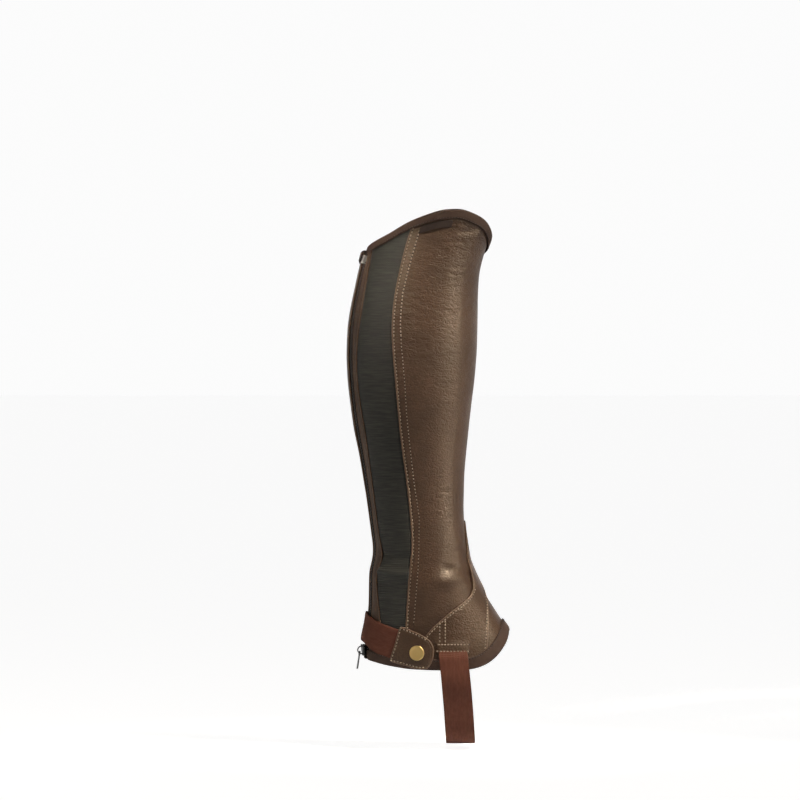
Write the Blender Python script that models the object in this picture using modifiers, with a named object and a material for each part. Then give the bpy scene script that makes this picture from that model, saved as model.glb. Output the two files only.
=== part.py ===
"""A leather half chap for the right leg, hollow, in the shape it takes when it is worn.

+X is forward, -Y is the leg's outer side and +Z is up. The origin is the middle of
the calf's widest section. Sizes are in millimetres until the meshes are written.
A turn is an angle round the leg in degrees: 0 at the rear, 90 on the outer side,
180 at the shin and 270 on the inner side. A point's outward value is its distance
from the leather's outer face, so a piece that lies on another has a larger one.
"""

import math

import bmesh
import bpy
from mathutils import Matrix, Vector

MM = 0.001

# Wall thicknesses and the gaps between layers
LEATHER = 1.8
ELASTIC = 1.5
TAPE = 1.0
BINDING = 1.2
LABEL = 0.9
SEAM_GAP = 0.7
LAYER_GAP = 0.75
LAP_GAP = 0.85
LAP_TUCK = 0.9
EDGE_GAP = 1.1

# How far each layer's outer face stands from the main leather's outer face
ON_LEATHER = LAP_GAP + LEATHER
GORE_OUTWARD = -0.3
TAPE_OUTWARD = -LEATHER - LAYER_GAP
BINDING_CLEARANCE = 0.85

# The leg's sections: height, rearmost point, foremost point, half the width
SECTIONS = (
    (125.0, -36.0, 86.0, 52.0),
    (100.0, -41.0, 78.0, 52.0),
    (76.0, -47.5, 68.4, 52.5),
    (57.0, -52.0, 63.9, 53.5),
    (35.0, -57.0, 62.7, 54.8),
    (10.0, -61.3, 62.6, 56.0),
    (-20.0, -62.6, 61.6, 55.8),
    (-50.0, -60.8, 58.6, 53.8),
    (-80.0, -57.2, 54.9, 50.6),
    (-114.0, -50.4, 51.3, 46.0),
    (-145.0, -45.0, 49.4, 42.4),
    (-172.0, -40.8, 49.3, 40.4),
    (-187.0, -38.8, 50.4, 39.8),
    (-202.0, -37.0, 53.0, 39.8),
    (-212.0, -37.6, 54.2, 40.2),
    (-224.0, -40.6, 58.6, 41.2),
    (-240.0, -40.8, 66.0, 42.6),
    (-258.0, -41.4, 77.0, 44.0),
    (-276.0, -43.6, 89.0, 45.4),
    (-292.0, -45.2, 101.5, 46.6),
    (-308.0, -44.0, 113.0, 47.2),
    (-330.0, -42.0, 127.0, 47.2),
)

# The rim, the top edge of the top binding: turn, height
RIM = (
    (0.0, 79.5),
    (14.0, 80.5),
    (27.0, 86.5),
    (49.0, 96.0),
    (67.0, 107.3),
    (82.0, 114.0),
    (97.0, 118.8),
    (110.0, 119.3),
    (126.0, 115.3),
    (142.0, 109.5),
    (160.0, 99.8),
    (180.0, 91.0),
    (198.0, 85.0),
    (220.0, 73.0),
    (246.0, 61.0),
    (272.0, 56.0),
    (300.0, 61.0),
    (330.0, 71.5),
    (360.0, 79.5),
)

# The hem, the bottom edge of the hem binding, the same on both sides: turn, height
HEM = (
    (0.0, -307.4),
    (20.0, -309.0),
    (42.0, -312.6),
    (58.0, -315.0),
    (80.0, -316.2),
    (102.0, -315.6),
    (115.0, -311.3),
    (128.0, -303.2),
    (149.0, -290.2),
    (166.0, -282.4),
    (180.0, -280.0),
)

# Edges that run down the leg on its outer rear: height, forward place
GORE_FRONT_EDGE = (
    (120.0, 6.0),
    (98.0, -3.0),
    (86.0, -6.7),
    (66.5, -11.7),
    (42.0, -16.9),
    (23.0, -19.8),
    (2.0, -20.3),
    (-43.0, -16.9),
    (-96.0, -12.1),
    (-157.0, -4.2),
    (-198.6, -1.4),
    (-226.0, -3.9),
    (-275.0, -7.1),
    (-318.0, -8.0),
)
GORE_REAR_EDGE = (
    (90.0, -36.2),
    (79.0, -38.2),
    (33.0, -45.9),
    (-10.5, -52.1),
    (-24.0, -52.6),
    (-60.0, -49.6),
    (-90.0, -44.2),
    (-126.0, -39.3),
    (-157.0, -35.1),
    (-187.0, -31.4),
    (-209.0, -27.6),
    (-229.0, -33.6),
    (-252.0, -31.7),
    (-271.0, -29.5),
    (-318.0, -27.5),
)
# The line that the zip's teeth follow: height, turn
ZIP_LINE = (
    (100.0, 18.5),
    (40.0, 20.0),
    (-60.0, 20.0),
    (-126.0, 17.5),
    (-187.0, 13.5),
    (-230.0, 12.0),
    (-318.0, 11.5),
)
ZIP_OPENING = 6.2
TAPE_WIDTH = 13.0
TAPE_END_INSET = 3.0

# The foot panels' sewn edge from the hem up to the shin: height, turn from the rear
OUTER_FOOT_EDGE = (
    (-318.0, 64.5),
    (-300.0, 70.4),
    (-291.0, 75.0),
    (-283.0, 80.0),
    (-269.0, 95.5),
    (-258.0, 112.5),
    (-247.0, 135.8),
    (-242.0, 144.0),
    (-233.0, 152.0),
    (-219.0, 160.0),
    (-208.0, 164.5),
    (-196.0, 170.0),
    (-176.0, 177.0),
)
INNER_FOOT_EDGE = (
    (-318.0, 79.0),
    (-299.0, 83.0),
    (-281.0, 85.0),
    (-269.0, 96.5),
    (-258.0, 113.0),
    (-247.0, 135.0),
    (-241.0, 145.0),
    (-232.0, 153.0),
    (-218.0, 161.0),
    (-207.0, 165.5),
    (-195.0, 170.5),
    (-176.0, 177.0),
)
FOOT_APEX_HEIGHT = -176.0
# The seam between a foot panel and the instep piece: height, turn from the rear
INSTEP_SEAM = (
    (-320.0, 111.0),
    (-304.0, 118.3),
    (-290.0, 127.0),
    (-271.0, 141.5),
    (-255.0, 158.0),
    (-246.0, 168.5),
    (-236.0, 180.0),
)
INSTEP_TOP = -228.0
LAP = 6.0
LAP_HEIGHT = -245.0
TUCK_FROM = -1.0
TUCK_TO = 2.5
INSTEP_TUCK_FROM = -1.0
INSTEP_TUCK_TO = 4.0

# Bindings: how far each one reaches from the edge that it is folded over
TOP_BINDING_WIDTH = 9.8
HEM_BINDING_WIDTH = 11.0
BINDING_ROUND = 1.4
BINDING_CORNER_IN = 0.85
BINDING_CORNER_UP = 0.35
BINDING_INNER_SHORT = 1.0
BINDING_SIDE_STEP = 8.0

# The heel strap's edges: turn (minus on the inner side), top height, bottom height
HEEL_STRAP = (
    (-90.0, -278.5, -301.5),
    (-84.0, -277.3, -300.5),
    (-45.0, -270.0, -295.8),
    (0.0, -262.0, -290.0),
    (12.0, -264.2, -290.6),
    (30.0, -269.3, -298.6),
    (57.0, -277.3, -307.2),
    (70.0, -281.0, -310.0),
)
HEEL_STRAP_OUTER_END = ((-308.0, 52.5), (-277.0, 65.0))
HEEL_STRAP_RISE = 2.3
HEEL_STRAP_EASE = 6.0
SLIDER_FLARE = 1.8
FLARE_REACH = 26.0
FLARE_HEIGHT = 20.0

# The snap tab, from its sewn end to its round end: top forward, top height,
# bottom forward, bottom height
SNAP_TAB = (
    (-10.3, -274.0, -18.7, -307.7),
    (-3.0, -276.8, -9.5, -310.2),
    (4.3, -279.8, 0.0, -312.8),
    (11.0, -283.3, 8.5, -315.0),
    (16.4, -287.0, 14.4, -314.8),
    (19.6, -291.2, 18.2, -310.6),
    (21.2, -296.2, 20.6, -304.4),
)
# The tab stands further out where it crosses the hem binding
TAB_OUTWARD_TOP = 5.3
TAB_OUTWARD_HEM = 7.2
TAB_HEM_FROM = -303.0
TAB_HEM_TO = -288.0
CAP_CENTRE = (6.2, -299.3)
CAP_RADIUS = 7.1
CAP_THICKNESS = 2.0
CAP_ROUND = 1.1

# The stirrup strap: height, forward place of its middle, distance from the middle plane
STIRRUP_WIDTH = 27.8
STIRRUP_TOP = -299.5
STIRRUP_PATH = (
    (-299.5, 38.6, 50.0),
    (-318.0, 40.6, 52.0),
    (-332.0, 42.0, 50.0),
    (-347.0, 43.3, 46.5),
    (-362.0, 44.5, 42.0),
    (-374.0, 45.3, 37.2),
    (-382.0, 45.8, 31.0),
    (-386.5, 46.0, 23.0),
)
STIRRUP_SOLE = -387.5
STIRRUP_FREE_FROM = -318.0
STIRRUP_FREE_TO = -345.0
STIRRUP_STEP = 4.2
STIRRUP_HEM_FROM = 1.5
STIRRUP_HEM_TO = 5.5
STIRRUP_COLUMNS = 4
STIRRUP_SOLE_ROWS = 4

# The label under the top binding: first turn, last turn, its drop below the binding
LABEL_SPAN = (79.0, 107.5)
LABEL_DROP = 8.0

# The zip's hard pieces, in millimetres across, along and outward
BOX_SIZE = (4.8, 8.0, 3.2)
BOX_HEIGHT = 71.5
SLIDER_SIZE = (8.6, 11.4, 2.0)
SLIDER_HEIGHT = -298.4
SLIDER_OUTWARD = 2.2
SLIDER_NOSE = 0.66
SLIDER_KEEL = (4.2, 3.6)
BAIL_WIRE = 0.6
BAIL_SPAN = 7.4
BAIL_RISE = 4.4
BAIL_STEPS = 10
SLIDER_BEVEL = 0.7
BOX_BEVEL = 0.5
PULL_PLACE = 40.0
PULL_EYE_WIDTH = 4.7
PULL_EYE = 1.7
PULL_THICKNESS = 0.8
PULL_TILT = 14.0
# The pull's outline below its eye: half the width, distance below the eye's middle
PULL_EYE_STEPS = 12
PULL_EYE_FROM = -40.0
PULL_OUTLINE = ((1.28, 3.3), (1.6, 14.15), (0.96, 15.15))

# Soft folds: height, turn, half the height, half the turn, climb over half the turn, depth
FOLDS = (
    (-228.5, 116.0, 8.0, 34.0, 5.5, 2.6),
    (-218.0, 122.0, 5.0, 22.0, 2.5, -1.8),
    (-227.0, 58.0, 6.0, 24.0, -3.0, 1.3),
    (-216.0, 55.0, 5.0, 24.0, -2.0, -0.9),
    (-243.0, 100.0, 8.0, 26.0, 3.0, -1.0),
    (-225.0, 238.0, 7.0, 36.0, -4.0, 2.4),
    (-214.5, 242.0, 5.0, 30.0, -2.0, -1.7),
    (-239.0, 250.0, 7.0, 28.0, -3.0, 1.8),
)
FOLD_FADE = 9.0

# Grid steps: first turn, last turn, columns
MAIN_COLUMNS = (
    (80.0, 140.0, 7),
    (140.0, 180.0, 7),
    (180.0, 220.0, 7),
    (220.0, 280.0, 7),
    (280.0, 372.0, 10),
)
# Grid steps: first height, last height, rows
MAIN_ROWS = (
    (-316.0, -256.0, 5),
    (-256.0, -184.0, 10),
    (-184.0, 50.0, 12),
    (50.0, 100.0, 5),
)
FOOT_GRID = (10, 22)
INSTEP_GRID = (20, 9)
TAPE_COLUMNS = 3
GORE_COLUMNS = 7
FACING_COLUMNS = 2
STRAP_GRID = (20, 5)
TAB_GRID = (12, 6)
LABEL_GRID = (8, 2)
BINDING_COLUMNS = 56


def smooth_table(rows):
    """A function that reads the other columns of a table at any value of its first one."""
    rows = sorted(rows)
    keys = [row[0] for row in rows]
    columns = list(zip(*rows))[1:]
    slopes = [column_slopes(keys, column) for column in columns]

    def read(key):
        if key <= keys[0]:
            return [column[0] for column in columns]
        if key >= keys[-1]:
            return [column[-1] for column in columns]
        upper = next(i for i, value in enumerate(keys) if value >= key)
        lower = upper - 1
        span = keys[upper] - keys[lower]
        part = (key - keys[lower]) / span
        ease = part * part * (3.0 - 2.0 * part)
        leave = part * (1.0 - part) ** 2 * span
        arrive = part * part * (part - 1.0) * span
        return [
            column[lower] + ease * (column[upper] - column[lower])
            + leave * slope[lower] + arrive * slope[upper]
            for column, slope in zip(columns, slopes)
        ]

    return read


def column_slopes(keys, values):
    """Slopes that keep a curve through the values free of overshoot."""
    steps = [
        (values[i + 1] - values[i]) / (keys[i + 1] - keys[i]) for i in range(len(keys) - 1)
    ]
    slopes = [steps[0]]
    for before, after in zip(steps, steps[1:]):
        same_way = before * after > 0.0
        slopes.append(2.0 * before * after / (before + after) if same_way else 0.0)
    slopes.append(steps[-1])
    return slopes


def swapped(rows):
    return [(second, first) for first, second in rows]


def smooth_step(value, low, high):
    part = min(1.0, max(0.0, (value - low) / (high - low)))
    return part * part * (3.0 - 2.0 * part)


section_at = smooth_table(SECTIONS)
rim_table = smooth_table(RIM)
hem_table = smooth_table(HEM)
gore_front_table = smooth_table(GORE_FRONT_EDGE)
gore_rear_table = smooth_table(GORE_REAR_EDGE)
zip_table = smooth_table(ZIP_LINE)
outer_foot_turn = smooth_table(OUTER_FOOT_EDGE)
inner_foot_turn = smooth_table(INNER_FOOT_EDGE)
outer_foot_height = smooth_table(swapped(OUTER_FOOT_EDGE))
inner_foot_height = smooth_table(swapped(INNER_FOOT_EDGE))
instep_turn = smooth_table(INSTEP_SEAM)
heel_strap_at = smooth_table(HEEL_STRAP)
heel_strap_end = smooth_table(HEEL_STRAP_OUTER_END)
stirrup_at = smooth_table(STIRRUP_PATH)


def rim_height(turn):
    return rim_table(turn % 360.0)[0]


def hem_height(turn):
    turn = turn % 360.0
    return hem_table(min(turn, 360.0 - turn))[0]


def foot_edge_height(turn):
    """The height of the foot panels' sewn edge at a turn."""
    turn = turn % 360.0
    if turn <= 180.0:
        return outer_foot_height(turn)[0]
    return inner_foot_height(360.0 - turn)[0]


def fold_at(turn, height):
    """How far the soft folds push the leather out at a place."""
    total = 0.0
    for middle, around, half_height, half_turn, climb, depth in FOLDS:
        across = (turn % 360.0 - around) / half_turn
        if abs(across) >= 1.0:
            continue
        along = (height - middle - climb * across) / half_height
        total += depth * math.exp(-along * along) * math.cos(across * math.pi / 2.0) ** 2
    return total * smooth_step(height - foot_edge_height(turn), 0.0, FOLD_FADE)


def bare_point(turn, height):
    rear, front, half_width = section_at(height)
    angle = math.radians(turn)
    middle = (rear + front) / 2.0
    half_depth = (front - rear) / 2.0
    forward = middle - half_depth * math.cos(angle)
    return Vector((forward, -half_width * math.sin(angle), height))


def outward_way(turn, height):
    """The direction straight out of the leg's surface."""
    step_turn = 1.0
    step_height = 4.0
    along = bare_point(turn + step_turn, height) - bare_point(turn - step_turn, height)
    up = bare_point(turn, height + step_height) - bare_point(turn, height - step_height)
    return along.cross(up).normalized()


def leg_point(turn, height, outward=0.0):
    reach = outward + fold_at(turn, height)
    return bare_point(turn, height) + outward_way(turn, height) * reach


def turn_at(height, forward):
    """The turn on the outer side where the surface is this far forward."""
    rear, front, _ = section_at(height)
    middle = (rear + front) / 2.0
    half_depth = (front - rear) / 2.0
    ratio = min(1.0, max(-1.0, (middle - forward) / half_depth))
    return math.degrees(math.acos(ratio))


def turn_moved(turn, height, distance):
    """The turn that lies a distance further round the leg at the same height."""
    rear, front, half_width = section_at(height)
    angle = math.radians(turn)
    speed = math.hypot((front - rear) / 2.0 * math.sin(angle), half_width * math.cos(angle))
    return turn + math.degrees(distance / speed)


def gore_front(height):
    return turn_at(height, gore_front_table(height)[0])


def gore_rear(height):
    return turn_at(height, gore_rear_table(height)[0])


def zip_turn(height, distance=0.0):
    return turn_moved(zip_table(height)[0], height, distance)


def main_bottom(turn):
    """The main panel's bottom edge: the hem at the rear, then hidden under the foot panels."""
    turn = turn % 360.0
    back = -1.0 if turn <= 180.0 else 1.0
    edge = foot_edge_height(turn + back * lap_turn(turn))
    if min(turn, 360.0 - turn) < foot_start(turn, 0.0):
        return panel_bottom(turn)
    return max(panel_bottom(turn), edge - LAP / 2.0)


def lap_turn(turn):
    """The lap under a foot panel, as a turn at the height where the panels lie."""
    return turn_moved(turn, LAP_HEIGHT, LAP) - turn


def foot_start(turn, above_hem):
    """The turn from the rear where the foot panel on this side starts, near the hem."""
    height = hem_height(80.0) + above_hem
    edge = outer_foot_turn if turn % 360.0 <= 180.0 else inner_foot_turn
    return edge(height)[0]


def edge_inset():
    """How far a panel's raw edge stays inside the binding's outside edge."""
    return BINDING + EDGE_GAP


def spans(pieces):
    """Stations from 0 to 1 for a list of spans, each with its own number of steps."""
    first = pieces[0][0]
    last = pieces[-1][1]
    stations = [0.0]
    for start, end, count in pieces:
        for step in range(1, count + 1):
            stations.append((start + (end - start) * step / count - first) / (last - first))
    return stations


def even(count):
    return [step / count for step in range(count + 1)]


def patch(across, along, left, right, bottom, top, outward):
    """Points of a panel between two edges read by height and two read by turn."""
    settle_steps = 12
    grid = []
    for v in along:
        row = []
        for u in across:
            height = bottom(180.0) + v * (top(180.0) - bottom(180.0))
            for _ in range(settle_steps):
                turn = left(height) + u * (right(height) - left(height))
                height = bottom(turn) + v * (top(turn) - bottom(turn))
            row.append(leg_point(turn, height, outward(turn, height)))
        grid.append(row)
    return grid


def grid_object(name, grid, thickness, material, collection):
    """A wall: a bmesh grid moved to the points of its outer face, then thickened inwards."""
    rows = len(grid)
    columns = len(grid[0])
    mesh = bpy.data.meshes.new(name)
    surface = bmesh.new()
    bmesh.ops.create_grid(surface, x_segments=columns - 1, y_segments=rows - 1, size=1.0)
    surface.verts.ensure_lookup_table()
    for index, vert in enumerate(surface.verts):
        vert.co = grid[index // columns][index % columns] * MM
    face_outwards(surface, grid)
    surface.to_mesh(mesh)
    surface.free()
    mesh.shade_smooth()
    piece = bpy.data.objects.new(name, mesh)
    collection.objects.link(piece)
    mesh.materials.append(material)
    add_wall(piece, thickness)
    return piece


def add_wall(piece, thickness):
    wall = piece.modifiers.new("Wall", "SOLIDIFY")
    wall.thickness = thickness * MM
    wall.offset = -1.0
    wall.use_even_offset = True


def face_outwards(surface, grid):
    """Turns the faces so that they look the way that their rows and columns say."""
    surface.faces.ensure_lookup_table()
    surface.normal_update()
    first_up = grid[1][0] - grid[0][0]
    first_along = grid[0][1] - grid[0][0]
    if surface.faces[0].normal.dot(first_along.cross(first_up)) < 0.0:
        bmesh.ops.reverse_faces(surface, faces=surface.faces)


def material_of(name, colour, roughness, metallic=0.0):
    material = bpy.data.materials.new(name)
    material.use_nodes = True
    shader = material.node_tree.nodes["Principled BSDF"]
    shader.inputs["Base Color"].default_value = (*colour, 1.0)
    shader.inputs["Roughness"].default_value = roughness
    shader.inputs["Metallic"].default_value = metallic
    return material


def make_main_panel(collection, leather):
    grid = patch(
        spans(MAIN_COLUMNS),
        spans(MAIN_ROWS),
        lambda height: turn_moved(gore_front(height), height, SEAM_GAP),
        lambda height: 360.0 + zip_turn(height, -ZIP_OPENING / 2.0),
        main_bottom,
        panel_top,
        main_outward,
    )
    return grid_object("main_panel", grid, LEATHER, leather, collection)


def main_outward(turn, height):
    """The main panel is tucked in a little where a foot panel covers it."""
    return -LAP_TUCK * smooth_step(foot_edge_height(turn) - height, TUCK_FROM, TUCK_TO)


def panel_top(turn):
    return rim_height(turn) - edge_inset()


def panel_bottom(turn):
    return hem_height(turn) + edge_inset()


def make_gore(collection, elastic):
    grid = patch(
        even(GORE_COLUMNS),
        spans(MAIN_ROWS),
        gore_rear,
        gore_front,
        panel_bottom,
        panel_top,
        lambda turn, height: GORE_OUTWARD,
    )
    return grid_object("gore", grid, ELASTIC, elastic, collection)


def make_zip_facing(collection, leather):
    grid = patch(
        even(FACING_COLUMNS),
        spans(MAIN_ROWS),
        lambda height: zip_turn(height, ZIP_OPENING / 2.0),
        lambda height: turn_moved(gore_rear(height), height, -SEAM_GAP),
        panel_bottom,
        panel_top,
        lambda turn, height: 0.0,
    )
    return grid_object("zip_facing", grid, LEATHER, leather, collection)


def make_zip_tape(name, side, collection, fabric):
    """One tape, from the zip's middle to under the leather beside it."""
    near = side * SEAM_GAP / 2.0
    far = side * TAPE_WIDTH
    first, last = sorted((near, far))
    grid = patch(
        even(TAPE_COLUMNS),
        spans(MAIN_ROWS),
        lambda height: zip_turn(height, first),
        lambda height: zip_turn(height, last),
        lambda turn: hem_height(turn) + TAPE_END_INSET,
        lambda turn: rim_height(turn) - TAPE_END_INSET,
        lambda turn, height: TAPE_OUTWARD,
    )
    return grid_object(name, grid, TAPE, fabric, collection)


def make_foot_panel(name, edge, mirrored, collection, leather):
    """A foot panel lies on the main panel and on the instep piece."""

    def front(height):
        seam_half = turn_moved(0.0, height, SEAM_GAP / 2.0)
        return min(instep_turn(height)[0], 180.0 - seam_half)

    columns, rows = FOOT_GRID
    sewn = walked(lambda height: edge(height)[0], FOOT_APEX_HEIGHT, rows)
    seam = walked(front, FOOT_APEX_HEIGHT, rows)
    grid = []
    for j in range(rows + 1):
        row = []
        for i in range(columns + 1):
            u = i / columns
            low_turn, low_height = between(sewn[0], seam[0], u)
            sag = panel_bottom(low_turn) - low_height
            turn, height = between(sewn[j], seam[j], u)
            row.append(leg_point(turn, height + sag * (1.0 - j / rows), ON_LEATHER))
        grid.append(row)
    if mirrored:
        grid = inner_side(grid)
    return grid_object(name, grid, LEATHER, leather, collection)


def between(first, last, part):
    return [a + (b - a) * part for a, b in zip(first, last)]


def walked(edge, top, count):
    """Evenly spaced turns and heights along an edge, from the panels' bottom up."""
    bottom = top
    settle_steps = 12
    for _ in range(settle_steps):
        bottom = panel_bottom(edge(bottom))
    fine = 8 * count
    heights = [bottom + (top - bottom) * step / fine for step in range(fine + 1)]
    places = [(edge(height), height) for height in heights]
    lengths = [0.0]
    for before, after in zip(places, places[1:]):
        lengths.append(lengths[-1] + (bare_point(*after) - bare_point(*before)).length)
    found = []
    for step in range(count + 1):
        wanted = lengths[-1] * step / count
        upper = next(i for i, length in enumerate(lengths) if length >= wanted)
        lower = max(upper - 1, 0)
        span = lengths[upper] - lengths[lower]
        part = (wanted - lengths[lower]) / span if span else 0.0
        found.append(between(places[lower], places[upper], part))
    return found


def inner_side(grid):
    """The same grid on the leg's inner side, its rows run the other way so it faces out."""
    return [[Vector((p.x, -p.y, p.z)) for p in reversed(row)] for row in grid]


def make_instep_piece(collection, leather):
    def left(height):
        return turn_moved(instep_turn(height)[0], height, -LAP)

    def outward(turn, height):
        past_seam = min(turn, 360.0 - turn) - instep_turn(height)[0]
        return -LAP_TUCK * (1.0 - smooth_step(past_seam, INSTEP_TUCK_FROM, INSTEP_TUCK_TO))

    grid = patch(
        even(INSTEP_GRID[0]),
        even(INSTEP_GRID[1]),
        left,
        lambda height: 360.0 - left(height),
        panel_bottom,
        lambda turn: INSTEP_TOP,
        outward,
    )
    return grid_object("instep_piece", grid, LEATHER, leather, collection)


def hem_layers(turn):
    """Outermost face and innermost face of what the hem binding holds at a turn."""
    found = []
    for side_step in (-BINDING_SIDE_STEP, 0.0, BINDING_SIDE_STEP):
        near = turn + side_step
        from_rear = min(near % 360.0, 360.0 - near % 360.0)
        start = foot_start(near, 0.0)
        lap_end = foot_start(near, HEM_BINDING_WIDTH) + lap_turn(start)
        seam_low = instep_turn(hem_height(near))[0]
        seam_high = instep_turn(hem_height(near) + HEM_BINDING_WIDTH)[0]
        if from_rear < lap_end or from_rear > seam_low - lap_turn(seam_low):
            found.append((0.0, -LEATHER))
        if start < from_rear < lap_end or seam_low - lap_turn(seam_low) < from_rear < seam_high:
            found.append((0.0, -LEATHER - LAP_TUCK))
        if start < from_rear < seam_high:
            found.append((ON_LEATHER, ON_LEATHER - LEATHER))
        found.append(tape_layer(near, hem_height(near)))
    return max(row[0] for row in found if row), min(row[1] for row in found if row)


def tape_layer(turn, height):
    """The zip tapes' faces where they lie behind the leather."""
    middle = zip_table(height)[0]
    from_zip = (turn - middle + 180.0) % 360.0 - 180.0
    tape_turn = turn_moved(middle, height, TAPE_WIDTH + BINDING_SIDE_STEP / 2.0) - middle
    if abs(from_zip) > tape_turn:
        return None
    return (TAPE_OUTWARD, TAPE_OUTWARD - TAPE)


def rim_layers(turn):
    found = [(0.0, -LEATHER), tape_layer(turn, rim_height(turn))]
    return max(row[0] for row in found if row), min(row[1] for row in found if row)


def make_binding(name, edge_height, upward, width, layers, collection, fabric):
    """A strip folded over an edge, from the zip's outer side round to its inner side."""
    start = zip_turn(edge_height(20.0), ZIP_OPENING / 2.0)
    end = 360.0 + zip_turn(edge_height(360.0), -ZIP_OPENING / 2.0)
    grid = []
    for step in range(BINDING_COLUMNS + 1):
        turn = start + (end - start) * step / BINDING_COLUMNS
        outer, inner = layers(turn)
        outer += BINDING_CLEARANCE + BINDING
        inner -= BINDING_CLEARANCE + BINDING
        edge = edge_height(turn)
        profile = (
            (outer, width),
            (outer, BINDING_ROUND),
            (outer - BINDING_CORNER_IN, BINDING_CORNER_UP),
            ((outer + inner) / 2.0, 0.0),
            (inner + BINDING_CORNER_IN, BINDING_CORNER_UP),
            (inner, BINDING_ROUND),
            (inner, width - BINDING_INNER_SHORT),
        )
        if not upward:
            profile = profile[::-1]
        row = []
        for outward, drop in profile:
            height = edge + (drop if not upward else -drop)
            row.append(leg_point(turn, height, outward))
        grid.append(row)
    grid = [list(line) for line in zip(*grid)]
    return grid_object(name, grid, BINDING, fabric, collection)


def heel_strap_outward(turn, height):
    """The strap lies on the leather, rises over the hem binding and flares over the slider."""
    over_binding = hem_height(turn) + HEM_BINDING_WIDTH
    past_binding = smooth_step(height, over_binding, over_binding + HEEL_STRAP_EASE)
    rise = HEEL_STRAP_RISE * (1.0 - past_binding)
    bottom = heel_strap_at(turn)[1]
    zip_middle = zip_table(height)[0]
    near = math.exp(-((turn - zip_middle) / FLARE_REACH) ** 2)
    low = 1.0 - smooth_step(height, bottom, bottom + FLARE_HEIGHT)
    return ON_LEATHER + max(rise, SLIDER_FLARE * near * low)


def make_heel_strap(collection, elastic):
    grid = patch(
        even(STRAP_GRID[0]),
        even(STRAP_GRID[1]),
        lambda height: -inner_strap_end(height),
        lambda height: heel_strap_end(height)[0],
        lambda turn: heel_strap_at(turn)[1],
        lambda turn: heel_strap_at(turn)[0],
        heel_strap_outward,
    )
    return grid_object("heel_strap", grid, ELASTIC, elastic, collection)


def inner_strap_end(height):
    return turn_moved(inner_foot_turn(height)[0], height, -EDGE_GAP)


def tab_outward(height):
    hem_part = 1.0 - smooth_step(height, TAB_HEM_FROM, TAB_HEM_TO)
    return TAB_OUTWARD_TOP + (TAB_OUTWARD_HEM - TAB_OUTWARD_TOP) * hem_part


def make_snap_tab(collection, leather):
    along = smooth_table([(i / (len(SNAP_TAB) - 1), *row) for i, row in enumerate(SNAP_TAB)])
    columns, rows = TAB_GRID
    grid = []
    for j in range(rows + 1):
        row = []
        for i in range(columns + 1):
            top_forward, top, bottom_forward, bottom = along(i / columns)
            forward = bottom_forward + (top_forward - bottom_forward) * j / rows
            height = bottom + (top - bottom) * j / rows
            row.append(leg_point(turn_at(height, forward), height, tab_outward(height)))
        grid.append(row)
    return grid_object("snap_tab", grid, LEATHER, leather, collection)


def make_label(collection, fabric):
    first, last = LABEL_SPAN
    grid = patch(
        even(LABEL_GRID[0]),
        even(LABEL_GRID[1]),
        lambda height: first,
        lambda height: last,
        lambda turn: rim_height(turn) - TOP_BINDING_WIDTH - LABEL_DROP,
        lambda turn: rim_height(turn) - TOP_BINDING_WIDTH - SEAM_GAP,
        lambda turn, height: LAYER_GAP + LABEL,
    )
    return grid_object("label", grid, LABEL, fabric, collection)


def stirrup_point(height, across):
    """A point of the stirrup strap's outer face on the outer side of the leg."""
    forward, away = stirrup_at(height)
    forward += across
    follow = 1.0 - smooth_step(-height, -STIRRUP_FREE_FROM, -STIRRUP_FREE_TO)
    turn = turn_at(height, forward)
    above = height - hem_height(turn) - HEM_BINDING_WIDTH
    outward = ON_LEATHER + LAYER_GAP + ELASTIC
    step = BINDING_CLEARANCE + BINDING
    outward += step * (1.0 - smooth_step(above, STIRRUP_HEM_FROM, STIRRUP_HEM_TO))
    side = -leg_point(turn, height, 0.0).y + outward
    return Vector((forward, -(away + (side - away) * follow), height))


def make_stirrup_strap(collection, elastic):
    """Half of the strap, from under the outer side to the middle plane, then mirrored."""
    acrosses = [STIRRUP_WIDTH * (part - 0.5) for part in even(STIRRUP_COLUMNS)]
    lowest, last_forward, last_away = STIRRUP_PATH[-1]
    grid = []
    height = STIRRUP_TOP
    while height > lowest:
        grid.append([stirrup_point(height, across) for across in acrosses])
        height -= STIRRUP_STEP
    grid.append([stirrup_point(lowest, across) for across in acrosses])
    for part in even(STIRRUP_SOLE_ROWS)[1:]:
        away = last_away * (1.0 - part)
        grid.append([Vector((last_forward + across, -away, STIRRUP_SOLE)) for across in acrosses])
    grid = grid[::-1]
    piece = grid_object("stirrup_strap", grid, ELASTIC, elastic, collection)
    piece.modifiers.remove(piece.modifiers["Wall"])
    mirror = piece.modifiers.new("Inner side", "MIRROR")
    mirror.use_axis = (False, True, False)
    mirror.use_clip = True
    mirror.merge_threshold = 0.0001
    add_wall(piece, ELASTIC)
    return piece


def surface_frame(turn, height, outward):
    """A matrix on the leg: X goes round it, Y goes up it and Z stands out of it."""
    out = outward_way(turn, height)
    up = bare_point(turn, height + 1.0) - bare_point(turn, height - 1.0)
    up = (up - out * up.dot(out)).normalized()
    along = up.cross(out)
    place = leg_point(turn, height, outward) * MM
    frame = Matrix((along, up, out)).transposed().to_4x4()
    frame.translation = place
    return frame


def solid_object(name, solid, frame, material, collection):
    mesh = bpy.data.meshes.new(name)
    solid.to_mesh(mesh)
    solid.free()
    mesh.materials.append(material)
    piece = bpy.data.objects.new(name, mesh)
    collection.objects.link(piece)
    piece.matrix_world = frame
    return piece


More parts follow.
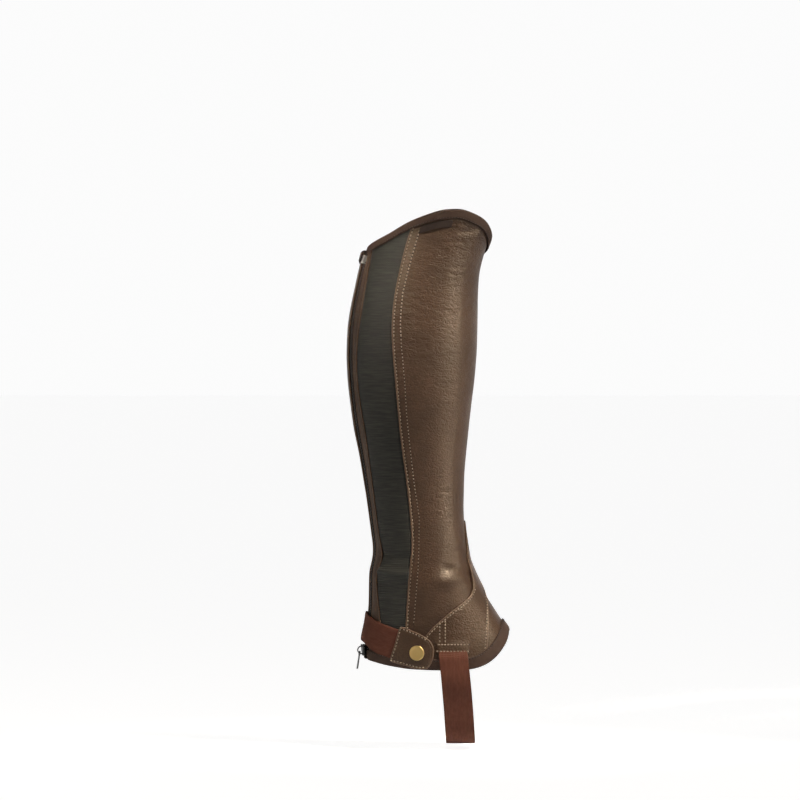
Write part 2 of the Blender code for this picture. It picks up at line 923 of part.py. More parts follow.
def rounded_block(size, bevel, taper=1.0, keel=None):
    """A block with its back face on the plane Z = 0, narrowed towards its lower end.

    A keel is a narrower block that goes in from the back face: its width and depth.
    """
    block = bmesh.new()
    bmesh.ops.create_cube(block, size=1.0)
    for vert in block.verts:
        width = size[0] * (taper if vert.co.y < 0.0 else 1.0)
        vert.co = Vector((vert.co.x * width, vert.co.y * size[1], (vert.co.z + 0.5) * size[2])) * MM
    bmesh.ops.bevel(
        block,
        geom=block.edges,
        offset=bevel * MM,
        segments=2,
        profile=0.5,
        affect="EDGES",
        material=-1,
    )
    if keel:
        width, depth = keel
        back = min(block.faces, key=lambda face: face.calc_center_median().z)
        bmesh.ops.inset_region(block, faces=[back], thickness=bevel * MM)
        for vert in back.verts:
            vert.co.x = math.copysign(width / 2.0 * MM, vert.co.x)
        moved = bmesh.ops.extrude_face_region(block, geom=[back])
        bmesh.ops.delete(block, geom=[back], context="FACES_ONLY")
        inner = [item for item in moved["geom"] if isinstance(item, bmesh.types.BMVert)]
        bmesh.ops.translate(block, verts=inner, vec=(0.0, 0.0, -depth * MM))
    return block


def make_zip_box(collection, plastic):
    middle = zip_turn(BOX_HEIGHT)
    frame = surface_frame(middle, BOX_HEIGHT, TAPE_OUTWARD + LAYER_GAP)
    return solid_object("zip_box", rounded_block(BOX_SIZE, BOX_BEVEL), frame, plastic, collection)


def bail_tool(collection):
    """The slider's bridge: an arch of square wire, joined to the slider's face."""
    curve = bpy.data.curves.new("bail", "CURVE")
    curve.dimensions = "3D"
    line = curve.splines.new("POLY")
    points = []
    for part in even(BAIL_STEPS):
        angle = math.pi * part
        points.append((0.0, -BAIL_SPAN / 2.0 * math.cos(angle), BAIL_RISE * math.sin(angle)))
    foot = SLIDER_SIZE[2] / 2.0
    points = [(0.0, points[0][1], -foot), *points, (0.0, points[-1][1], -foot)]
    line.points.add(len(points) - 1)
    for point, place in zip(line.points, points):
        point.co = (place[0] * MM, place[1] * MM, (place[2] + SLIDER_SIZE[2]) * MM, 1.0)
    curve.bevel_depth = BAIL_WIRE * MM
    curve.bevel_resolution = 2
    curve.use_fill_caps = True
    holder = bpy.data.objects.new("bail_curve", curve)
    collection.objects.link(holder)
    bpy.context.view_layer.update()
    graph = bpy.context.evaluated_depsgraph_get()
    mesh = bpy.data.meshes.new_from_object(holder.evaluated_get(graph))
    bpy.data.objects.remove(holder)
    bail = bmesh.new()
    bail.from_mesh(mesh)
    bmesh.ops.remove_doubles(bail, verts=bail.verts, dist=1e-6)
    bail.to_mesh(mesh)
    bail.free()
    tool = bpy.data.objects.new("slider_bail", mesh)
    tool.display_type = "WIRE"
    tool.hide_render = True
    collection.objects.link(tool)
    return tool


def make_zip_slider(collection, cutters, metal):
    frame = surface_frame(zip_turn(SLIDER_HEIGHT), SLIDER_HEIGHT, SLIDER_OUTWARD)
    body = rounded_block(SLIDER_SIZE, SLIDER_BEVEL, SLIDER_NOSE, SLIDER_KEEL)
    slider = solid_object("zip_slider", body, frame, metal, collection)
    bail = bail_tool(cutters)
    bail.matrix_world = frame
    join = slider.modifiers.new("Bail", "BOOLEAN")
    join.operation = "UNION"
    join.object = bail
    join.solver = "EXACT"
    return slider


def pull_axis_place():
    """The place on the slider's bridge that the pull turns on, with its frame."""
    frame = surface_frame(zip_turn(SLIDER_HEIGHT), SLIDER_HEIGHT, SLIDER_OUTWARD)
    lower = math.radians(PULL_PLACE)
    down = -BAIL_SPAN / 2.0 * math.cos(lower)
    out = SLIDER_SIZE[2] + BAIL_RISE * math.sin(lower)
    return frame @ Matrix.Translation(Vector((0.0, down, out)) * MM)


def make_zip_pull(collection, cutters, metal):
    """A flat tab with an eye round the bridge. It hangs from the eye along -Y."""
    frame = pull_axis_place() @ Matrix.Rotation(math.radians(-PULL_TILT), 4, "X")
    eye_ring = PULL_EYE_WIDTH / 2.0
    first = math.radians(PULL_EYE_FROM)
    sweep = math.pi - 2.0 * first
    outline = []
    for part in even(PULL_EYE_STEPS):
        angle = first + sweep * part
        outline.append((eye_ring * math.cos(angle), eye_ring * math.sin(angle)))
    outline += [(-half, -below) for half, below in PULL_OUTLINE]
    outline += [(half, -below) for half, below in reversed(PULL_OUTLINE)]
    shape = bmesh.new()
    corners = [shape.verts.new((x * MM, y * MM, -PULL_THICKNESS / 2.0 * MM)) for x, y in outline]
    base = shape.faces.new(corners)
    grown = bmesh.ops.extrude_face_region(shape, geom=[base])
    raised = [item for item in grown["geom"] if isinstance(item, bmesh.types.BMVert)]
    bmesh.ops.translate(shape, verts=raised, vec=(0.0, 0.0, PULL_THICKNESS * MM))
    bmesh.ops.recalc_face_normals(shape, faces=shape.faces)
    pull = solid_object("zip_pull", shape, frame, metal, collection)
    hole = bmesh.new()
    bmesh.ops.create_cone(
        hole,
        cap_ends=True,
        segments=16,
        radius1=PULL_EYE * MM,
        radius2=PULL_EYE * MM,
        depth=PULL_THICKNESS * 3.0 * MM,
    )
    cutter = solid_object("pull_eye", hole, frame, metal, cutters)
    cutter.display_type = "WIRE"
    cutter.hide_render = True
    cut = pull.modifiers.new("Eye", "BOOLEAN")
    cut.operation = "DIFFERENCE"
    cut.object = cutter
    cut.solver = "EXACT"
    return pull


def make_snap_cap(collection, brass):
    """A low dome with a rolled edge, on the tab."""
    forward, height = CAP_CENTRE
    outward = tab_outward(height) + LAYER_GAP
    frame = surface_frame(turn_at(height, forward), height, outward)
    cap = bmesh.new()
    bmesh.ops.create_cone(
        cap,
        cap_ends=True,
        segments=32,
        radius1=CAP_RADIUS * MM,
        radius2=CAP_RADIUS * MM,
        depth=CAP_THICKNESS * MM,
        matrix=Matrix.Translation((0.0, 0.0, CAP_THICKNESS / 2.0 * MM)),
    )
    top_rim = [
        edge for edge in cap.edges
        if all(vert.co.z > CAP_THICKNESS / 2.0 * MM for vert in edge.verts)
    ]
    bmesh.ops.bevel(
        cap,
        geom=top_rim,
        offset=CAP_ROUND * MM,
        segments=3,
        profile=0.5,
        affect="EDGES",
        material=-1,
    )
    return solid_object("snap_cap", cap, frame, brass, collection)


def clear_scene():
    for item in list(bpy.data.objects):
        bpy.data.objects.remove(item)


def new_collection(name):
    collection = bpy.data.collections.new(name)
    bpy.context.scene.collection.children.link(collection)
    return collection


def main():
    clear_scene()
    parts = new_collection("half_chap")
    cutters = new_collection("cutters")
    leather = material_of("brown_leather", (0.105, 0.062, 0.042), 0.45)
    gore_elastic = material_of("black_elastic", (0.018, 0.018, 0.014), 0.85)
    strap_elastic = material_of("brown_elastic", (0.085, 0.028, 0.020), 0.8)
    binding = material_of("woven_binding", (0.072, 0.038, 0.028), 0.75)
    tape = material_of("zip_tape", (0.030, 0.020, 0.016), 0.85)
    brass = material_of("brass", (0.60, 0.42, 0.14), 0.28, 1.0)
    black_metal = material_of("black_metal", (0.012, 0.012, 0.014), 0.3, 0.6)
    grey_plastic = material_of("grey_plastic", (0.25, 0.24, 0.23), 0.5)

    make_main_panel(parts, leather)
    make_gore(parts, gore_elastic)
    make_zip_facing(parts, leather)
    make_zip_tape("zip_tape_outer", 1.0, parts, tape)
    make_zip_tape("zip_tape_inner", -1.0, parts, tape)
    make_foot_panel("foot_panel_outer", outer_foot_turn, False, parts, leather)
    make_foot_panel("foot_panel_inner", inner_foot_turn, True, parts, leather)
    make_instep_piece(parts, leather)
    make_binding("top_binding", rim_height, True, TOP_BINDING_WIDTH, rim_layers, parts, binding)
    make_binding("hem_binding", hem_height, False, HEM_BINDING_WIDTH, hem_layers, parts, binding)
    make_heel_strap(parts, strap_elastic)
    make_snap_tab(parts, leather)
    make_snap_cap(parts, brass)
    make_stirrup_strap(parts, strap_elastic)
    make_label(parts, binding)
    make_zip_box(parts, grey_plastic)
    make_zip_slider(parts, cutters, black_metal)
    make_zip_pull(parts, cutters, black_metal)


main()
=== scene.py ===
# %% [markdown]
# # A brown leather half chap
#
# A half chap is a leather sleeve for the lower leg. It closes with a long zip at the
# back, an elastic gore lets it stretch, and two elastic straps hold its hem down.
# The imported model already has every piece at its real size, so it is loaded first and
# nothing on it is moved. The pieces that follow are finer copies that take its place.

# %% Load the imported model
import math

import bmesh
import bpy
from mathutils import Matrix, Vector
from mathutils.bvhtree import BVHTree
from mathutils.kdtree import KDTree
from mathutils.noise import noise


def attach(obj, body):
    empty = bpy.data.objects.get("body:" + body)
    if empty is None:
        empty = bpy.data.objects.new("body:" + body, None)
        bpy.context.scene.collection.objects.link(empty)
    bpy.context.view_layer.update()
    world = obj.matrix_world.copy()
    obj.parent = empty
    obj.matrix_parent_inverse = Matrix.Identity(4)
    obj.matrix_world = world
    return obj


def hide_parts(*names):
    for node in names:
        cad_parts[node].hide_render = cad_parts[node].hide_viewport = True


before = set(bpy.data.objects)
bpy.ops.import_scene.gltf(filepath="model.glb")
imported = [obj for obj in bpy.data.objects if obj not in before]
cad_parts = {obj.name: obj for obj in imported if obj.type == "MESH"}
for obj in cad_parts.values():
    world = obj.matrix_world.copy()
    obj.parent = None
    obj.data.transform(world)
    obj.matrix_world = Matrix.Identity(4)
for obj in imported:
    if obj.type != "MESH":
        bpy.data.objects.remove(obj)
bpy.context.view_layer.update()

MM = 0.001
print("nodes:", sorted(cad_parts))

# %% [markdown]
# ## The view
#
# The chap is seen from the leg's outer side, level with the calf. A long lens from far
# away keeps the leg's sides parallel, as a picture in a catalogue does. A camera nearer
# than this would make the near side look larger than the far one.

# %% Camera
VIEW_MIDDLE = Vector((-11.4, 0.0, -61.8)) * MM
VIEW_WIDTH = 760.0 * MM
VIEW_DISTANCE = 6.0
VIEW_RISE = math.radians(1.0)

camera_lens = bpy.data.cameras.new("camera")
camera_lens.sensor_width = 36.0
camera_lens.lens = camera_lens.sensor_width * VIEW_DISTANCE / VIEW_WIDTH
camera = bpy.data.objects.new("camera", camera_lens)
bpy.context.scene.collection.objects.link(camera)
camera_way = Vector((0.0, -math.cos(VIEW_RISE), math.sin(VIEW_RISE)))
camera.location = VIEW_MIDDLE + VIEW_DISTANCE * camera_way
camera.rotation_euler = (math.radians(90.0) - VIEW_RISE, 0.0, 0.0)
bpy.context.scene.camera = camera
print("lens:", round(camera_lens.lens), "mm")

# %% [markdown]
# ## Floor and light
#
# The floor is one wide pale sheet under the strap, in a pale room. Brown leather shines,
# so it mirrors whatever is round it, and a white room would wash it out to grey. In a
# studio, black cloth is hung in front of such leather. Here the Light Path node does the
# same for the floor and the room: what is looked at straight is pale on all sides, and
# what the leather mirrors is bright only behind it.


# %% Shader helpers
def new_material(name, colour, roughness, metallic=0.0):
    material = bpy.data.materials.new(name)
    material.use_nodes = True
    shader = material.node_tree.nodes["Principled BSDF"]
    shader.inputs["Base Color"].default_value = (*colour, 1.0)
    shader.inputs["Roughness"].default_value = roughness
    shader.inputs["Metallic"].default_value = metallic
    return material, shader


def add(material, kind, values=None, **settings):
    """A new shader node with its settings and the values of its sockets."""
    node = material.node_tree.nodes.new("ShaderNode" + kind)
    for name, value in settings.items():
        setattr(node, name, value)
    for name, value in (values or {}).items():
        node.inputs[name].default_value = value
    return node


def wire(material, output, node, socket):
    material.node_tree.links.new(output, node.inputs[socket])


def laid_on(material, vector, kind, values=None, **settings):
    """A new node whose pattern is laid out on a vector."""
    node = add(material, kind, values, **settings)
    wire(material, vector, node, "Vector")
    return node


def own_place(material):
    """The place on the piece itself, so the pattern keeps still when the piece moves."""
    return add(material, "TexCoord").outputs["Object"]


def product(material, first, second):
    node = add(material, "Math", operation="MULTIPLY")
    wire(material, first, node, 0)
    wire(material, second, node, 1)
    return node.outputs[0]


def spread(material, output, low, high, to_low=0.0, to_high=1.0):
    """Maps a range of values smoothly on to another one."""
    node = add(
        material,
        "MapRange",
        {"From Min": low, "From Max": high, "To Min": to_low, "To Max": to_high},
        interpolation_type="SMOOTHSTEP",
    )
    wire(material, output, node, "Value")
    return node.outputs["Result"]


# %% Floor
FLOOR_HEIGHT = -392.5 * MM
FLOOR_HALF_SIDE = 20.0
# forward of these places, in m, the floor that the leather mirrors turns dark
DARK_FROM = -0.3
DARK_TO = -1.2
FLOOR_MIRRORED = 0.35
FLOOR_SEEN = 0.86
WHITE = (1.0, 1.0, 1.0, 1.0)

floor_mesh = bpy.data.meshes.new("floor")
floor_shape = bmesh.new()
bmesh.ops.create_grid(
    floor_shape,
    x_segments=1,
    y_segments=1,
    size=FLOOR_HALF_SIDE,
    matrix=Matrix.Translation((0.0, 0.0, FLOOR_HEIGHT)),
)
floor_shape.to_mesh(floor_mesh)
floor_shape.free()
floor = bpy.data.objects.new("floor", floor_mesh)
bpy.context.scene.collection.objects.link(floor)


def seen_or_mirrored(material, mirrored, seen):
    """One strength for what is looked at straight, another for what lights the chap."""
    straight = add(material, "LightPath").outputs["Is Camera Ray"]
    strength = add(material, "Mix")
    wire(material, straight, strength, "Factor")
    wire(material, mirrored, strength, "A")
    strength.inputs["B"].default_value = seen
    return strength.outputs["Result"]


floor_paint, floor_shader = new_material("floor_paint", (0.5, 0.5, 0.5), 0.9)
floor_place = laid_on(floor_paint, own_place(floor_paint), "SeparateXYZ")
floor_glow = spread(
    floor_paint, floor_place.outputs["Y"], DARK_TO, DARK_FROM, 0.0, FLOOR_MIRRORED
)
floor_light = seen_or_mirrored(floor_paint, floor_glow, FLOOR_SEEN)
wire(floor_paint, floor_light, floor_shader, "Emission Strength")
floor_shader.inputs["Emission Color"].default_value = WHITE
floor_mesh.materials.append(floor_paint)
print("floor at", round(FLOOR_HEIGHT / MM, 1), "mm")

# %% Room
# how far back a direction points where the mirrored room turns bright, and how bright
BRIGHT_FROM = 0.5
BRIGHT_TO = 0.95
ROOM_DIM = 0.02
ROOM_BRIGHT = 1.0
ROOM_SEEN = 0.97

room = bpy.data.worlds.new("room")
room.use_nodes = True
room_way = laid_on(room, add(room, "TexCoord").outputs["Generated"], "SeparateXYZ")
room_glow = spread(room, room_way.outputs["Y"], BRIGHT_FROM, BRIGHT_TO, ROOM_DIM, ROOM_BRIGHT)
room_shader = room.node_tree.nodes["Background"]
room_shader.inputs["Color"].default_value = WHITE
wire(room, seen_or_mirrored(room, room_glow, ROOM_SEEN), room_shader, "Strength")
bpy.context.scene.world = room
bpy.context.scene.view_settings.view_transform = "Standard"

# %% [markdown]
# The lamps are listed in one table. The key lamp stands in front of the shin and a
# little higher than the calf, because the long highlight lies where the leather is half
# turned towards it, and its light from above shows the creases. A wide fill lights the
# back. Three narrow beams lift the top of the calf, the gore and the folds at the ankle.

# %% Lamps
# name, turn from the camera towards the shin, height angle, distance, what it lights in mm,
# size, width of the beam, power
LAMPS = (
    ("key_lamp", 68.0, 28.0, 2.0, (30.0, -40.0, 60.0), 0.7, 180.0, 4.3),
    ("calf_fill", -70.0, 20.0, 2.2, (0.0, -40.0, -60.0), 0.8, 180.0, 10.0),
    ("calf_beam", 72.0, 8.0, 2.0, (48.0, -35.0, 130.0), 0.7, 9.0, 0.8),
    ("ankle_beam", 52.0, 58.0, 1.6, (52.0, -40.0, -250.0), 0.4, 12.0, 0.72),
    ("gore_beam", -30.0, 30.0, 2.0, (-30.0, -40.0, 70.0), 0.1, 7.0, 0.06),
)
LAMP_COLOUR = (1.0, 0.9, 0.76)
for name, turn, rise, distance, aim, size, beam, power in LAMPS:
    turn, rise = math.radians(turn), math.radians(rise)
    aim = Vector(aim) * MM
    level = math.cos(rise)
    way = Vector((math.sin(turn) * level, -math.cos(turn) * level, math.sin(rise)))
    light = bpy.data.lights.new(name, "AREA")
    light.size = size
    light.spread = math.radians(beam)
    light.energy = power
    light.color = LAMP_COLOUR
    lamp = bpy.data.objects.new(name, light)
    bpy.context.scene.collection.objects.link(lamp)
    lamp.location = aim + distance * way
    lamp.rotation_euler = (-way).to_track_quat("-Z", "Y").to_euler()
print("lamps:", len(LAMPS))

# %% [markdown]
# ## The leg's own directions
#
# Almost every piece lies round the leg, so places are easier to read as a turn round
# it than as X and Y. A turn is 0 at the rear, 90 on the outer side, 180 at the shin
# and 270 on the inner side. A short table of sections is enough to work one out.

# %% Turns round the leg
# height, rearmost point, foremost point, half the width, all in mm
LEG_SECTIONS = (
    (125.0, -36.0, 86.0, 52.0),
    (76.0, -47.5, 68.4, 52.5),
    (35.0, -57.0, 62.7, 54.8),
    (-20.0, -62.6, 61.6, 55.8),
    (-80.0, -57.2, 54.9, 50.6),
    (-145.0, -45.0, 49.4, 42.4),
    (-187.0, -38.8, 50.4, 39.8),
    (-224.0, -40.6, 58.6, 41.2),
    (-258.0, -41.4, 77.0, 44.0),
    (-292.0, -45.2, 101.5, 46.6),
    (-330.0, -42.0, 127.0, 47.2),
)


def section_at(height):
    """The middle, half the depth and half the width of the leg at a height, in mm."""
    for upper, lower in zip(LEG_SECTIONS, LEG_SECTIONS[1:]):
        if height >= lower[0]:
            break
    part = min(1.0, max(0.0, (upper[0] - height) / (upper[0] - lower[0])))
    rear, front, half_width = (a + (b - a) * part for a, b in zip(upper[1:], lower[1:]))
    return (rear + front) / 2.0, (front - rear) / 2.0, half_width


def turn_of(place):
    middle, half_depth, half_width = section_at(place.z / MM)
    away = math.atan2(-place.y / MM / half_width, (middle - place.x / MM) / half_depth)
    return math.degrees(away) % 360.0


def out_of_leg(place):
    """The level direction that points straight away from the leg's middle."""
    middle, half_depth, half_width = section_at(place.z / MM)
    across = Vector(((place.x / MM - middle) / half_depth**2, place.y / MM / half_width**2, 0.0))
    return across.normalized()


STIRRUP_MIDDLE = -345.0 * MM
STIRRUP_SQUASH = 1.2


def out_of_stirrup(place):
    """The stirrup strap is a loop below the leg, so it faces away from its own middle."""
    down = min(0.0, place.z - STIRRUP_MIDDLE) * STIRRUP_SQUASH
    return Vector((0.0, place.y, down)).normalized()


print("turn of the shin:", round(turn_of(Vector((60.0, 0.0, 0.0)) * MM)))

# %% [markdown]
# ## Finer copies of the solids
#
# A solid comes in as loose triangles. A copy has its doubles merged and its triangles
# paired into four-sided faces, because Subdivision Surface makes smooth leather from
# such a grid and a lumpy one from triangles. The modifier is applied straight away, so
# that creases can be pushed into the finer mesh.


# %% Copy, round and keep a piece
def solid_copy(node):
    shape = bmesh.new()
    shape.from_mesh(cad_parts[node].data)
    bmesh.ops.remove_doubles(shape, verts=shape.verts, dist=0.001 * MM)
    bmesh.ops.join_triangles(
        shape, faces=shape.faces, angle_face_threshold=math.pi, angle_shape_threshold=math.pi
    )
    shape.normal_update()
    return shape


def rounded_mesh(shape, name, levels):
    """The shape's mesh after Subdivision Surface."""
    rough = bpy.data.meshes.new(name + "_rough")
    shape.to_mesh(rough)
    holder = bpy.data.objects.new(name + "_rough", rough)
    bpy.context.scene.collection.objects.link(holder)
    smoother = holder.modifiers.new("Round", "SUBSURF")
    smoother.levels = levels
    smoother.render_levels = levels
    graph = bpy.context.evaluated_depsgraph_get()
    mesh = bpy.data.meshes.new_from_object(holder.evaluated_get(graph))
    mesh.name = name
    bpy.data.objects.remove(holder)
    bpy.data.meshes.remove(rough)
    return mesh


def keep_piece(mesh, node, material):
    """Puts a finished mesh in the scene in place of its solid, if it has one."""
    mesh.shade_smooth()
    mesh.materials.clear()
    mesh.materials.append(material)
    piece = bpy.data.objects.new(mesh.name, mesh)
    bpy.context.scene.collection.objects.link(piece)
    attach(piece, "chap")
    if node:
        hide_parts(node)
    print(piece.name, len(mesh.polygons), "faces")
    return piece


# %% [markdown]
# ## Borders
#
# Leather edges are turned or skived, and the sewing runs a fixed distance inside them.
# The border of each copy gives both: the faces of its thin rim tell which way that side
# of the piece looks, so one direction picks out one side of the piece.


# %% Find a piece's border
# a face whose normal lies closer to the outward way than this is on the outer side
FACES_OUT = 0.6


def upwards(place):
    return place.z


def border_line(shape, facing, inset, order=upwards, least=0.5, apart=0.0):
    """Places a little inside one side of a piece's outer face, in order."""
    found = []
    for vert in shape.verts:
        outer = [
            face for face in vert.link_faces
            if face.normal.dot(out_of_leg(face.calc_center_median())) > FACES_OUT
        ]
        rim = [face for face in vert.link_faces if face not in outer]
        if not outer or not rim:
            continue
        looks = sum((face.normal for face in rim), Vector())
        if looks.normalized().dot(Vector(facing).normalized()) < least:
            continue
        inward = sum((face.calc_center_median() - vert.co for face in outer), Vector())
        found.append((order(vert.co), vert.co.copy(), inward))
    found.sort(key=lambda row: row[0])
    if apart:
        found = outermost(found, apart)
    line = []
    for number, (_, place, inward) in enumerate(found):
        along = found[min(number + 1, len(found) - 1)][1] - found[max(number - 1, 0)][1]
        inward = inward - inward.project(along)
        line.append(place + inward.normalized() * inset * MM)
    return line


def outermost(found, apart):
    """Of places at almost the same turn, keeps the one farthest from the leg's middle."""
    kept = found[:1]
    for row in found[1:]:
        if row[0] - kept[-1][0] >= apart:
            kept.append(row)
        elif row[1].xy.length > kept[-1][1].xy.length:
            kept[-1] = row
    return kept


def anywhere(place):
    return True


def grow_border(shape, facing, grow, where=anywhere, least=0.5):
    """Moves one side of a piece's border out by some mm, or in when that is below zero."""
    moves = {}
    for face in shape.faces:
        middle = face.calc_center_median()
        if abs(face.normal.dot(out_of_leg(middle))) > FACES_OUT or not where(middle):
            continue
        if face.normal.dot(Vector(facing).normalized()) < least:
            continue
        for vert in face.verts:
            moves.setdefault(vert, []).append(face.normal.copy())
    for vert, normals in moves.items():
        vert.co += sum(normals, Vector()).normalized() * grow * MM
    shape.normal_update()


def evenly(line, step):
    """Places along a line at even steps."""
    walked = [0.0]
    for before, after in zip(line, line[1:]):
        walked.append(walked[-1] + (after - before).length)
    count = max(1, round(walked[-1] / step))
    places = []
    segment = 0
    for number in range(count + 1):
        wanted = walked[-1] * number / count
        while segment < len(line) - 2 and walked[segment + 1] < wanted:
            segment += 1
        span = walked[segment + 1] - walked[segment]
        part = (wanted - walked[segment]) / span if span else 0.0
        places.append(line[segment].lerp(line[segment + 1], part))
    return places


# %% [markdown]
# ## Creases
#
# Leather that has been worn folds where the ankle bends and breaks into short, shallow
# lines elsewhere. Each crease is a row of a table: where it is, how far it reaches each
# way, how much it climbs, and how deep it goes. A crease fades out towards its ends, and
# no two are alike, because even rows of creases would look like corrugated card.

# %% Crease table
# turn, height, half the turn, half the height, climb over half the turn, depth
ANKLE_CREASES = (
    (127.0, -220.2, 19.0, 1.5, -1.6, -3.6),
    (119.0, -231.0, 36.0, 4.4, 4.6, 1.9),
    (147.0, -225.0, 11.0, 1.2, -3.2, -1.1),
    (150.0, -232.5, 11.0, 1.2, 3.0, -0.9),
    (139.0, -238.0, 12.0, 2.6, 3.0, 0.5),
    (132.0, -210.5, 16.0, 1.5, -1.0, -0.7),
    (140.0, -204.5, 14.0, 1.6, 0.8, -0.8),
    (124.0, -201.0, 15.0, 1.3, 0.5, -0.45),
    (150.0, -197.0, 12.0, 2.4, 0.0, 0.9),
    (112.0, -242.0, 16.0, 1.6, 2.4, -0.5),
    (100.0, -216.0, 10.0, 1.5, -1.0, -0.4),
    (226.0, -218.5, 25.0, 2.0, -3.4, -1.9),
    (231.0, -231.5, 22.0, 2.2, -3.0, -1.7),
    (222.0, -208.5, 17.0, 1.6, -1.5, -0.8),
    (252.0, -226.0, 14.0, 1.8, 2.0, -0.8),
    (262.0, -240.0, 18.0, 1.8, -1.5, -0.7),
    (240.0, -245.0, 15.0, 2.0, -3.0, 0.7),
    (205.0, -200.0, 14.0, 1.7, 1.0, -0.6),
    (300.0, -222.0, 22.0, 2.2, 1.8, -0.7),
    (318.0, -236.0, 18.0, 2.0, -1.0, -0.6),
    (212.0, -190.0, 16.0, 2.0, 1.6, -0.45),
)
CALF_CREASES = (
    (128.0, 98.5, 14.0, 2.8, 1.5, -1.1),
    (97.0, 88.0, 11.0, 1.4, -6.0, -0.4),
    (104.0, 82.5, 13.0, 1.3, -7.0, -0.45),
    (112.0, 77.5, 12.0, 1.5, -6.0, -0.35),
    (122.0, 70.0, 15.0, 1.6, -5.0, -0.35),
    (146.0, 62.0, 14.0, 2.6, -1.5, 0.5),
    (140.0, 49.0, 20.0, 2.2, -2.0, -0.5),
    (150.0, 29.0, 18.0, 2.4, 1.0, -0.6),
    (128.0, 20.0, 17.0, 1.7, 1.4, -0.3),
    (138.0, 2.0, 22.0, 1.9, -1.2, -0.35),
    (118.0, -22.0, 17.0, 1.6, 1.6, -0.28),
    (142.0, -48.0, 20.0, 2.0, 1.0, -0.3),
    (125.0, -84.0, 20.0, 1.8, -1.4, -0.3),
    (148.0, -112.0, 18.0, 2.0, 1.2, -0.32),
    (130.0, -148.0, 18.0, 1.8, -1.0, -0.35),
    (112.0, -170.0, 14.0, 1.5, 1.2, -0.3),
    (205.0, 60.0, 18.0, 2.4, 2.0, -0.6),
    (228.0, 42.0, 20.0, 1.9, -2.0, -0.4),
    (250.0, 34.0, 22.0, 2.0, 2.4, -0.5),
    (286.0, 28.0, 20.0, 1.8, -2.2, -0.4),
    (240.0, 2.0, 24.0, 2.0, 1.8, -0.4),
    (300.0, -30.0, 24.0, 2.1, -2.0, -0.35),
    (228.0, -70.0, 22.0, 1.9, 1.0, -0.3),
    (276.0, -118.0, 22.0, 2.0, -1.6, -0.35),
    (320.0, -160.0, 20.0, 2.2, 1.4, -0.4),
    (240.0, -168.0, 22.0, 2.0, -1.2, -0.35),
)


# %% Push the creases in
CREASE_WANDER = 1.3
CREASE_REACH = 4.0
SWELL_WAY = (24.0, 24.0, 40.0)


def crease_depth(place, creases):
    turn = turn_of(place)
    height = place.z / MM
    total = 0.0
    for middle, around, half_turn, half_height, climb, depth in creases:
        across = ((turn - middle + 180.0) % 360.0 - 180.0) / half_turn
        if abs(across) >= 1.0:
            continue
        wander = CREASE_WANDER * noise(Vector((across * 2.0, around * 0.37, 0.0)))
        along = (height - around - climb * across - wander) / half_height
        if abs(along) < CREASE_REACH:
            fade = math.cos(across * math.pi / 2.0) ** 1.5
            total += depth * math.exp(-along * along) * fade
    return total


def push_creases(mesh, creases, swell):
    """Moves both faces of the wall together, so the leather keeps its thickness."""
    deepest = 0.0
    for vert in mesh.vertices:
        place = vert.co.copy()
        soft = swell * noise(place * Vector(SWELL_WAY))
        depth = crease_depth(place, creases) + soft
        vert.co = place + out_of_leg(place) * depth * MM
        deepest = min(deepest, depth)
    return round(deepest, 2)


# %% [markdown]
# ## Turned edges
#
# Where a leather edge shows, it is turned under and sewn down: a narrow roll along the
# edge, then a groove that the stitches pull in. Both depend only on the distance to the
# border, so a search tree of border places is enough. The same distance is kept as an
# attribute, which makes the roll paler than the rest: partly wear, partly a painted
# highlight where the roll catches the light.


# %% Roll the edges and mark the wear and painted highlight
# how far from the border, in mm, the wear and painted highlight fade, and the roll's place and
# half widths
BORDER_STEP = 0.6
WEAR_AND_HIGHLIGHT_WIDTH = 1.8
ROLL_AT = 1.0
ROLL_WIDTH = 0.8
GROOVE_WIDTH = 0.55
ROLL_ENDS = 6.0


def roll_edges(mesh, lines, roll, groove, groove_at):
    places = [place for line in lines for place in evenly(line, BORDER_STEP * MM)]
    tree = KDTree(len(places))
    for number, place in enumerate(places):
        tree.insert(place, number)
    tree.balance()
    wear_and_highlight = mesh.attributes.new("edge_wear_and_highlight", "FLOAT", "POINT")
    normals = [normal.vector.copy() for normal in mesh.vertex_normals]
    for vert, normal in zip(mesh.vertices, normals):
        away = tree.find(vert.co)[2] / MM
        # pale edge strength: partly wear, partly a painted highlight where the roll catches light
        wear_and_highlight.data[vert.index].value = math.exp(-((away / WEAR_AND_HIGHLIGHT_WIDTH) ** 2))
        outward = out_of_leg(vert.co)
        if away > ROLL_ENDS or normal.dot(outward) < 0.4:
            continue
        rise = roll * math.exp(-(((away - ROLL_AT) / ROLL_WIDTH) ** 2))
        rise -= groove * math.exp(-(((away - groove_at) / GROOVE_WIDTH) ** 2))
        vert.co = vert.co + outward * rise * MM


# %% [markdown]
# ## Leather
#
# The leather is brown with a soft gloss and a fine pebbled grain. A Voronoi texture
# gives the pebbles, and the thin lines where a noise passes through its middle value
# give the fine wrinkles, which run round the leg more than along it. The calf wrinkles
# more than the shin, so both fade out downwards. The colour is a little darker between
# the pebbles, as painted shade in the grain's hollows. The edges are paler, partly from
# wear and partly as a painted highlight along the rolled edge.


# %% Bump and tint
def raise_by(material, shader, output, height, strength, under=None):
    """A bump of a real height in mm, on top of another one."""
    node = add(material, "Bump", {"Strength": strength, "Distance": height * MM})
    wire(material, output, node, "Height")
    if under:
        wire(material, under.outputs["Normal"], node, "Normal")
    wire(material, node.outputs["Normal"], shader, "Normal")
    return node


